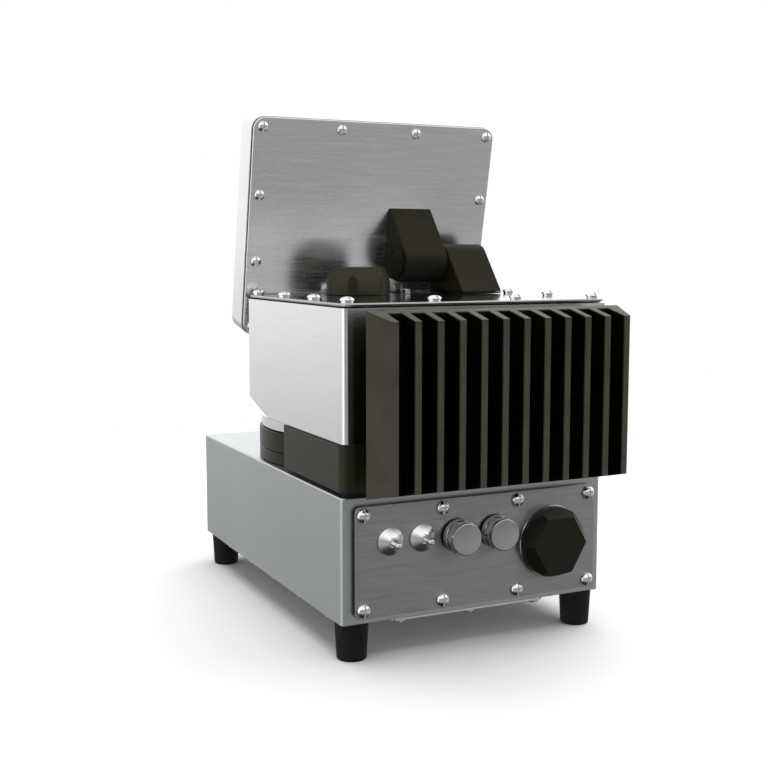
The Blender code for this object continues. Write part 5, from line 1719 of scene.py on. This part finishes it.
@dataclass
class HeatSink:
    """The black finned heat sink and its spacer."""

    fins: int = 12
    pitch: float = 15.4 * MM
    tip: float = 4.4 * MM
    root: float = 5.2 * MM
    floor: float = 5.9 * MM
    side_draft: float = 6.7 * MM
    end_draft: float = 5.8 * MM
    edge: float = 0.45 * MM
    # Where the painted light on the fins starts and where it is full; between the fins is painted shade
    lit_tips: tuple[float, float] = (1.45 * MM, 0.45 * MM)  # below the fins' tips
    lit_sides: tuple[float, float] = (2.4 * MM, 1.4 * MM)  # inside the outer fins' tips
    lit_ends: tuple[float, float] = (1 * MM, 0.4 * MM)  # inside the sloping ends

    def build(self) -> None:
        """Build the heat sink from the outline of its section."""
        extent = Extent.of("heat_sink")
        half, depth = extent.size.x / 2, extent.size.y
        outline = [(-half, 0.0)]
        outer = half - self.side_draft
        narrow = (self.pitch - self.root) / 2
        wide = (self.pitch - self.tip) / 2
        outline.append((-outer, depth))
        for index in range(self.fins - 1):
            middle = (index - (self.fins - 2) / 2) * self.pitch
            outline += [(middle - wide, depth), (middle - narrow, self.floor)]
            outline += [(middle + narrow, self.floor), (middle + wide, depth)]
        outline += [(outer, depth), (half, 0.0)]
        bm = extruded(outline, extent.size.z)
        round_edges(bm, along(Axis.Z), self.edge, FINE_SEGMENTS)
        for vert in bm.verts:
            share = vert.co.y / depth
            upper = vert.co.z > extent.size.z / 2
            vert.co.z += self.end_draft * share * (-1 if upper else 1)
        placed(bm, Matrix.Translation((0, extent.low.y, extent.low.z)))
        add_piece("finned_heat_sink", bm, self.finish(extent, outer), replaces=["heat_sink"])
        dress_node("heat_sink_spacer", ANODISED)

    def finish(self, extent: Extent, outer: float) -> ShadedFinAnodised:
        """Make the finish whose painted light and shade follow this heat sink.

        Args:
            extent: The heat sink's box.
            outer: Half the width across the outer fins' tips.

        Returns:
            The finish.
        """
        slope = self.end_draft / extent.size.y
        end = extent.high.z + slope * extent.low.y
        # Dark colour: painted shade between the fins; light colour: painted light on tips, upper ends and
        # outer sides
        return ShadedFinAnodised(
            "fin_shaded_black_aluminium",
            Slot.BLACK_ANODISED,
            "#060503",
            "#46443b",
            0.42,
            specular=0.1,
            tips=tuple(extent.high.y - depth for depth in self.lit_tips),
            sides=tuple(outer - depth for depth in self.lit_sides),
            ends=tuple(end - depth for depth in self.lit_ends),
            end_slope=slope,
        )


@dataclass
class Hinge:
    """The hinge's bracket on the lid, with its pin."""

    edge: float = 0.7 * MM
    arc_steps: int = 28
    pin_edge: float = 0.4 * MM
    pin_shank: float = 5 * MM
    pin_head: float = 1.2 * MM
    slot_width: float = 0.8 * MM
    slot_depth: float = 0.8 * MM

    def build(self) -> None:
        """Build the bracket and the pin, and dress the bracket's seal."""
        self.bracket()
        self.pin()
        dress_node("bracket_seal", RUBBER)

    def bracket(self) -> None:
        """The bracket: flanks that run tangent into a barrel round the pin."""
        axis, extent = hinge_axis(), Extent.of("hinge_bracket")
        rear = (extent.high.y - axis.y, extent.low.z - axis.z)
        front = (extent.low.y - axis.y, extent.low.z - axis.z)
        barrel = wrapped(rear, front, extent.high.z - axis.z, self.arc_steps)
        bm = extruded([front, rear, *barrel], extent.size.x)
        round_sharp(bm, self.edge)
        placed(bm, Matrix.Translation((extent.low.x, axis.y, axis.z)) @ UPRIGHT)
        add_piece("bracket_block", bm, HINGED, replaces=["hinge_bracket"])

    def pin(self) -> None:
        """The pin, with a slot across its head."""
        axis, extent = hinge_axis(), Extent.of("hinge_pin")
        length, head = extent.size.x, extent.size.z / 2
        shank, edge, under = self.pin_shank, self.pin_edge, length - self.pin_head
        profile = [(0, length), (head - edge, length), (head, length - edge), (head, under)]
        profile += [(shank, under), (shank, edge), (shank - edge, 0), (0, 0)]
        half, floor = self.slot_width / 2, length - self.slot_depth
        slot = Extent(Vector((-half, -2 * head, floor)), Vector((half, 2 * head, 2 * length)))
        bm = combined(spun(profile, SMALL_ROUND_STEPS), box_shape(slot), Operation.CUT)
        place = Matrix.Translation((extent.low.x, axis.y, axis.z))
        placed(bm, place @ Matrix.Rotation(math.pi / 2, 4, "Y"))
        add_piece("turned_hinge_pin", bm, HINGED, replaces=["hinge_pin"])


@dataclass
class Display:
    """The tilting display: arm, back plate with screws, shell, glass and what is inside."""

    tilt: float = math.radians(11.48)
    corner: float = 10 * MM
    corner_segments: int = 12
    plate_inset: float = 0.8 * MM
    plate_edge: float = 0.5 * MM
    screw_inset: float = 6.9 * MM
    screws_a_side: int = 4
    front_edge: float = 2.3 * MM
    front_segments: int = 5
    rear_edge: float = 0.6 * MM
    wall: float = 3 * MM
    front_wall: float = 6.3 * MM
    cavity_corner: float = 7 * MM
    back_rim: float = 13 * MM
    glass_margin: float = 9 * MM
    glass_lip: float = 4 * MM
    glass_corner: float = 3 * MM
    glass_edge: float = 0.4 * MM
    arm_edge: float = 0.7 * MM
    arm_steps: int = 28
    groove_margin: float = 1.5 * MM
    groove_width: float = 0.6 * MM
    groove_depth: float = 0.5 * MM
    screw: DomedScrew = DomedScrew(4 * MM, 3 * MM)

    def place(self) -> Matrix:
        """The display's own place: the hinge's axis, turned by the tilt at rest."""
        return Matrix.Translation(hinge_axis()) @ Matrix.Rotation(-self.tilt, 4, "X")

    def extent(self, node: str) -> Extent:
        """A node's box along the display's own axes."""
        return Extent.seen_from(node, self.place())

    def build(self) -> None:
        """Build the display's pieces."""
        self.arm()
        self.back_plate()
        self.shell()
        self.glass()
        dress_node("display_seal", RUBBER)
        dress_node("display_module", BOARD)

    def arm(self) -> None:
        """The wedge between the hinge pin and the back plate, with a ring round the pin."""
        extent = self.extent("display_arm")
        radius = -extent.low.z
        top, low = (extent.low.y, extent.high.z), (extent.low.y, -radius)
        bm = extruded([top, low, *wrapped(low, top, radius, self.arm_steps)], extent.size.x)
        round_sharp(bm, self.arm_edge)
        outer, side, deep = radius - self.groove_margin, extent.size.x, self.groove_depth
        inner = outer - self.groove_width
        section = [(inner, side - deep), (outer, side - deep), (outer, side + deep), (inner, side + deep)]
        bm = combined(bm, spun(section, SMALL_ROUND_STEPS, True), Operation.CUT)
        placed(bm, self.place() @ Matrix.Translation((extent.low.x, 0, 0)) @ UPRIGHT)
        add_piece("wedge_arm", bm, HINGED, Body.DISPLAY, ["display_arm"])

    def back_plate(self) -> None:
        """The brushed back plate and the screws along its four sides."""
        plate = self.extent("display_back_plate")
        plate.high.y -= self.screw.height
        bm = box_shape(plate)
        round_edges(bm, along(Axis.Y), self.corner - self.plate_inset, CORNER_SEGMENTS)
        round_sharp(bm, self.plate_edge)
        place = self.place()
        add_piece("brushed_back", placed(bm, place), PLATE, Body.DISPLAY, ["display_back_plate"])
        inner = plate.inset(self.screw_inset, 0, self.screw_inset)
        points = perimeter(inner, (Axis.X, Axis.Z), self.screws_a_side)
        places = [place @ rear_place(x, plate.high.y, z) for x, z in points]
        add_piece("back_screws", copies(self.screw.shape(), places), DOMED, Body.DISPLAY)

    def shell(self) -> None:
        """The shell: a rounded frame with a window in front and a rimmed opening behind."""
        outer = self.extent("display_housing")
        front, back = outer.low.y, outer.high.y
        bm = box_shape(outer)
        round_edges(bm, along(Axis.Y), self.corner, self.corner_segments)
        round_edges(bm, at_level(Axis.Y, front), self.front_edge, self.front_segments)
        round_edges(bm, at_level(Axis.Y, back), self.rear_edge, EDGE_SEGMENTS)
        seat_top = self.extent("display_glass").high.y + SEAT
        for margin, start, end, corner in (
            (self.wall, front + self.front_wall, back - self.wall, self.cavity_corner),
            (self.back_rim, back - 2 * self.wall, back + self.wall, self.cavity_corner),
            (
                self.glass_margin + self.glass_lip,
                front - self.wall,
                front + 2 * self.front_wall,
                self.glass_corner,
            ),
            (self.glass_margin - SEAT, front - self.wall, seat_top, self.glass_corner),
        ):
            space = outer.inset(margin, 0, margin)
            space.low.y, space.high.y = start, end
            cutter = box_shape(space)
            round_edges(cutter, along(Axis.Y), corner, CORNER_SEGMENTS)
            bm = combined(bm, cutter, Operation.CUT)
        bm = placed(bm, self.place())
        add_piece("display_shell", bm, CASE, Body.DISPLAY, ["display_housing"])

    def glass(self) -> None:
        """The dark front glass."""
        bm = box_shape(self.extent("display_glass"))
        round_edges(bm, along(Axis.Y), self.glass_corner, CORNER_SEGMENTS)
        round_sharp(bm, self.glass_edge, FINE_SEGMENTS)
        bm = placed(bm, self.place())
        add_piece("front_glass", bm, DARK_GLASS, Body.DISPLAY, ["display_glass"])


@dataclass
class Electronics:
    """The parts inside the base, which are CAD nodes with finishes of their own."""

    def build(self) -> None:
        """Dress each part."""
        dress_node("interface_board", BOARD)
        dress_node("power_supply", ALUMINIUM)
        dress_node("wiring_loom", RUBBER)


# Studio


@dataclass(frozen=True)
class Fade:
    """Where the light round the analyzer passes from one level to another.

    It follows one part of the direction that is looked in, from -1 to 1.
    """

    axis: Axis
    start: float
    end: float


@dataclass
class Studio:
    """The pale floor, the soft light and the camera at the photograph's angle."""

    camera_place: tuple[float, float, float] = (0.3890, 0.7894, 0.2639)
    camera_towards: tuple[float, float, float] = (-0.4294, -0.8963, -0.1109)
    lens: float = 54.52
    sensor: float = 36.0
    floor_radius: float = 1.6
    floor_colour: str = "#fafafa"
    floor_roughness: float = 0.9
    floor_specular: float = 0.1
    floor_fade: tuple[float, float] = (0.45, 1.0)
    lamp_place: tuple[float, float, float] = (-0.25, 0.0, 1.7)
    lamp_aim: tuple[float, float, float] = (0.0, 0.0, 0.15)
    lamp_size: float = 2.4
    lamp_power: float = 42.0
    plain_level: float = 0.5
    front_levels: tuple[float, float] = (1.62, 1.12)
    front_low: float = 0.5
    rear_floor: tuple[float, float] = (0.44, 0.24)
    rear_high: float = 1.22
    rear_lift: float = 1.2
    side_level: float = 1.3
    top_level: float = 1.05
    under_level: float = 0.02
    front_across: Fade = Fade(Axis.X, -0.3, 0.5)
    front_rise: Fade = Fade(Axis.Z, -0.25, 0.1)
    rear_ground: Fade = Fade(Axis.Z, -0.27, -0.1)
    rear_rise: Fade = Fade(Axis.Z, 0.02, 0.35)
    rear_across: Fade = Fade(Axis.X, -0.62, -0.38)
    front_to_rear: Fade = Fade(Axis.Y, -0.35, 0.5)
    side: Fade = Fade(Axis.X, 0.75, 1.0)
    top: Fade = Fade(Axis.Z, 0.4, 0.9)
    under: Fade = Fade(Axis.Z, -0.8, -0.3)

    def build(self) -> None:
        """Build the studio."""
        self.camera()
        self.world()
        self.floor()
        self.lamp()
        bpy.context.scene.view_settings.view_transform = "Standard"

    def camera(self) -> None:
        """The camera, level from side to side."""
        data = bpy.data.cameras.new("camera")
        data.lens = self.lens
        data.sensor_width = self.sensor
        obj = bpy.data.objects.new("camera", data)
        bpy.context.scene.collection.objects.link(obj)
        back = -Vector(self.camera_towards).normalized()
        right = Vector((0, 0, 1)).cross(back).normalized()
        up = back.cross(right)
        turn = Matrix((right, up, back)).transposed().to_4x4()
        obj.matrix_world = Matrix.Translation(self.camera_place) @ turn
        bpy.context.scene.camera = obj

    def world(self) -> None:
        """White to the camera, soft surroundings to metal and glass, and a plain level beyond."""
        world = bpy.data.worlds.new("studio")
        bpy.context.scene.world = world
        world.use_nodes = True
        tree = world.node_tree
        tree.nodes.clear()
        path = add_node(tree, "ShaderNodeLightPath").outputs
        either = {0: path["Is Glossy Ray"], 1: path["Is Transmission Ray"]}
        seen = add_node(tree, "ShaderNodeMath", either, operation="MAXIMUM").outputs["Value"]
        mirrored = {0: seen, 2: self.plain_level, 3: self.surroundings(tree)}
        soft = add_node(tree, "ShaderNodeMix", mirrored, data_type="FLOAT").outputs[0]
        white = {0: path["Is Camera Ray"], 2: soft, 3: 1.0}
        strength = add_node(tree, "ShaderNodeMix", white, data_type="FLOAT").outputs[0]
        light = {"Color": linear("#ffffff"), "Strength": strength}
        background = add_node(tree, "ShaderNodeBackground", light).outputs["Background"]
        add_node(tree, "ShaderNodeOutputWorld", {"Surface": background})

    def surroundings(self, tree: bpy.types.NodeTree) -> bpy.types.NodeSocket:
        """Make the level that metal and glass mirror, by the direction that they look in.

        Args:
            tree: The world's node tree.

        Returns:
            The level.
        """
        direction = add_node(tree, "ShaderNodeTexCoord").outputs["Generated"]
        parts = add_node(tree, "ShaderNodeSeparateXYZ", {"Vector": direction}).outputs
        front_high = self.step(tree, parts, self.front_across, self.front_levels)
        front = self.step(tree, parts, self.front_rise, (self.front_low, front_high))
        rear_low = self.step(tree, parts, self.rear_ground, self.rear_floor)
        rear_even = self.step(tree, parts, self.rear_rise, (rear_low, self.rear_high))
        lift = self.step(tree, parts, self.rear_across, (self.rear_lift, 1.0))
        lifted = add_node(tree, "ShaderNodeMath", {0: rear_even, 1: lift}, operation="MULTIPLY")
        ends = self.step(tree, parts, self.front_to_rear, (front, lifted.outputs["Value"]))
        sides = self.step(tree, parts, self.side, (ends, self.side_level))
        upper = self.step(tree, parts, self.top, (sides, self.top_level))
        return self.step(tree, parts, self.under, (self.under_level, upper))

    def step(
        self,
        tree: bpy.types.NodeTree,
        parts: bpy.types.NodeOutputs,
        fade: Fade,
        levels: tuple[float | bpy.types.NodeSocket, float | bpy.types.NodeSocket],
    ) -> bpy.types.NodeSocket:
        """Make a soft step from one level to another.

        Args:
            tree: The world's node tree.
            parts: The direction's parts along X, Y and Z.
            fade: Where the step is.
            levels: The level before the step and the level after it.

        Returns:
            The level.
        """
        inputs = {"Value": parts[fade.axis.value], "From Min": fade.start, "From Max": fade.end}
        inputs |= {"To Min": levels[0], "To Max": levels[1]}
        made = add_node(tree, "ShaderNodeMapRange", inputs, interpolation_type="SMOOTHSTEP")
        return made.outputs["Result"]

    def floor(self) -> None:
        """The pale floor, a disc that fades out into the background."""
        bm = bmesh.new()
        bmesh.ops.create_circle(bm, cap_ends=True, segments=ROUND_STEPS, radius=self.floor_radius)
        mesh = bpy.data.meshes.new("floor")
        bm.to_mesh(mesh)
        bm.free()
        obj = bpy.data.objects.new("floor", mesh)
        bpy.context.scene.collection.objects.link(obj)
        obj.data.materials.append(self.floor_material())
        obj.visible_glossy = False

    def floor_material(self) -> bpy.types.Material:
        """Make matt white paper, see-through past the fading distance.

        Returns:
            The floor's material.
        """
        material = bpy.data.materials.new("white_paper_floor")
        material.use_nodes = True
        tree = material.node_tree
        place = add_node(tree, "ShaderNodeTexCoord").outputs["Object"]
        length = add_node(tree, "ShaderNodeVectorMath", {0: place}, operation="LENGTH")
        start, end = self.floor_fade
        limits = {"Value": length.outputs["Value"], "From Min": start, "From Max": end}
        limits |= {"To Min": 1.0, "To Max": 0.0}
        fade = add_node(tree, "ShaderNodeMapRange", limits, interpolation_type="SMOOTHSTEP")
        inputs = {
            "Base Color": linear(self.floor_colour),
            "Roughness": self.floor_roughness,
            "Specular IOR Level": self.floor_specular,
            "Alpha": fade.outputs["Result"],
        }
        set_inputs(tree.nodes["Principled BSDF"], inputs)
        return material

    def lamp(self) -> None:
        """The soft square lamp overhead, which faces the analyzer."""
        data = bpy.data.lights.new("overhead", "AREA")
        data.shape = "SQUARE"
        data.size = self.lamp_size
        data.energy = self.lamp_power
        obj = bpy.data.objects.new("overhead", data)
        bpy.context.scene.collection.objects.link(obj)
        obj.rotation_mode = "QUATERNION"
        obj.location = self.lamp_place
        obj.visible_glossy = False
        aim = Vector(self.lamp_aim) - Vector(self.lamp_place)
        obj.rotation_quaternion = aim.to_track_quat("-Z", "Y")


def main() -> None:
    """Build the analyzer and the studio round it."""
    logging.basicConfig(level=logging.INFO, format="%(name)s: %(message)s")
    parts = (
        BaseHousing(),
        RearPanel(),
        Turntable(),
        SupportBlock(),
        MeasuringHead(),
        HeatSink(),
        Hinge(),
        Display(),
        Electronics(),
        Studio(),
    )
    for part in parts:
        part.build()
        LOG.info("%s is built", type(part).__name__)


if __name__ == "__main__":
    main()
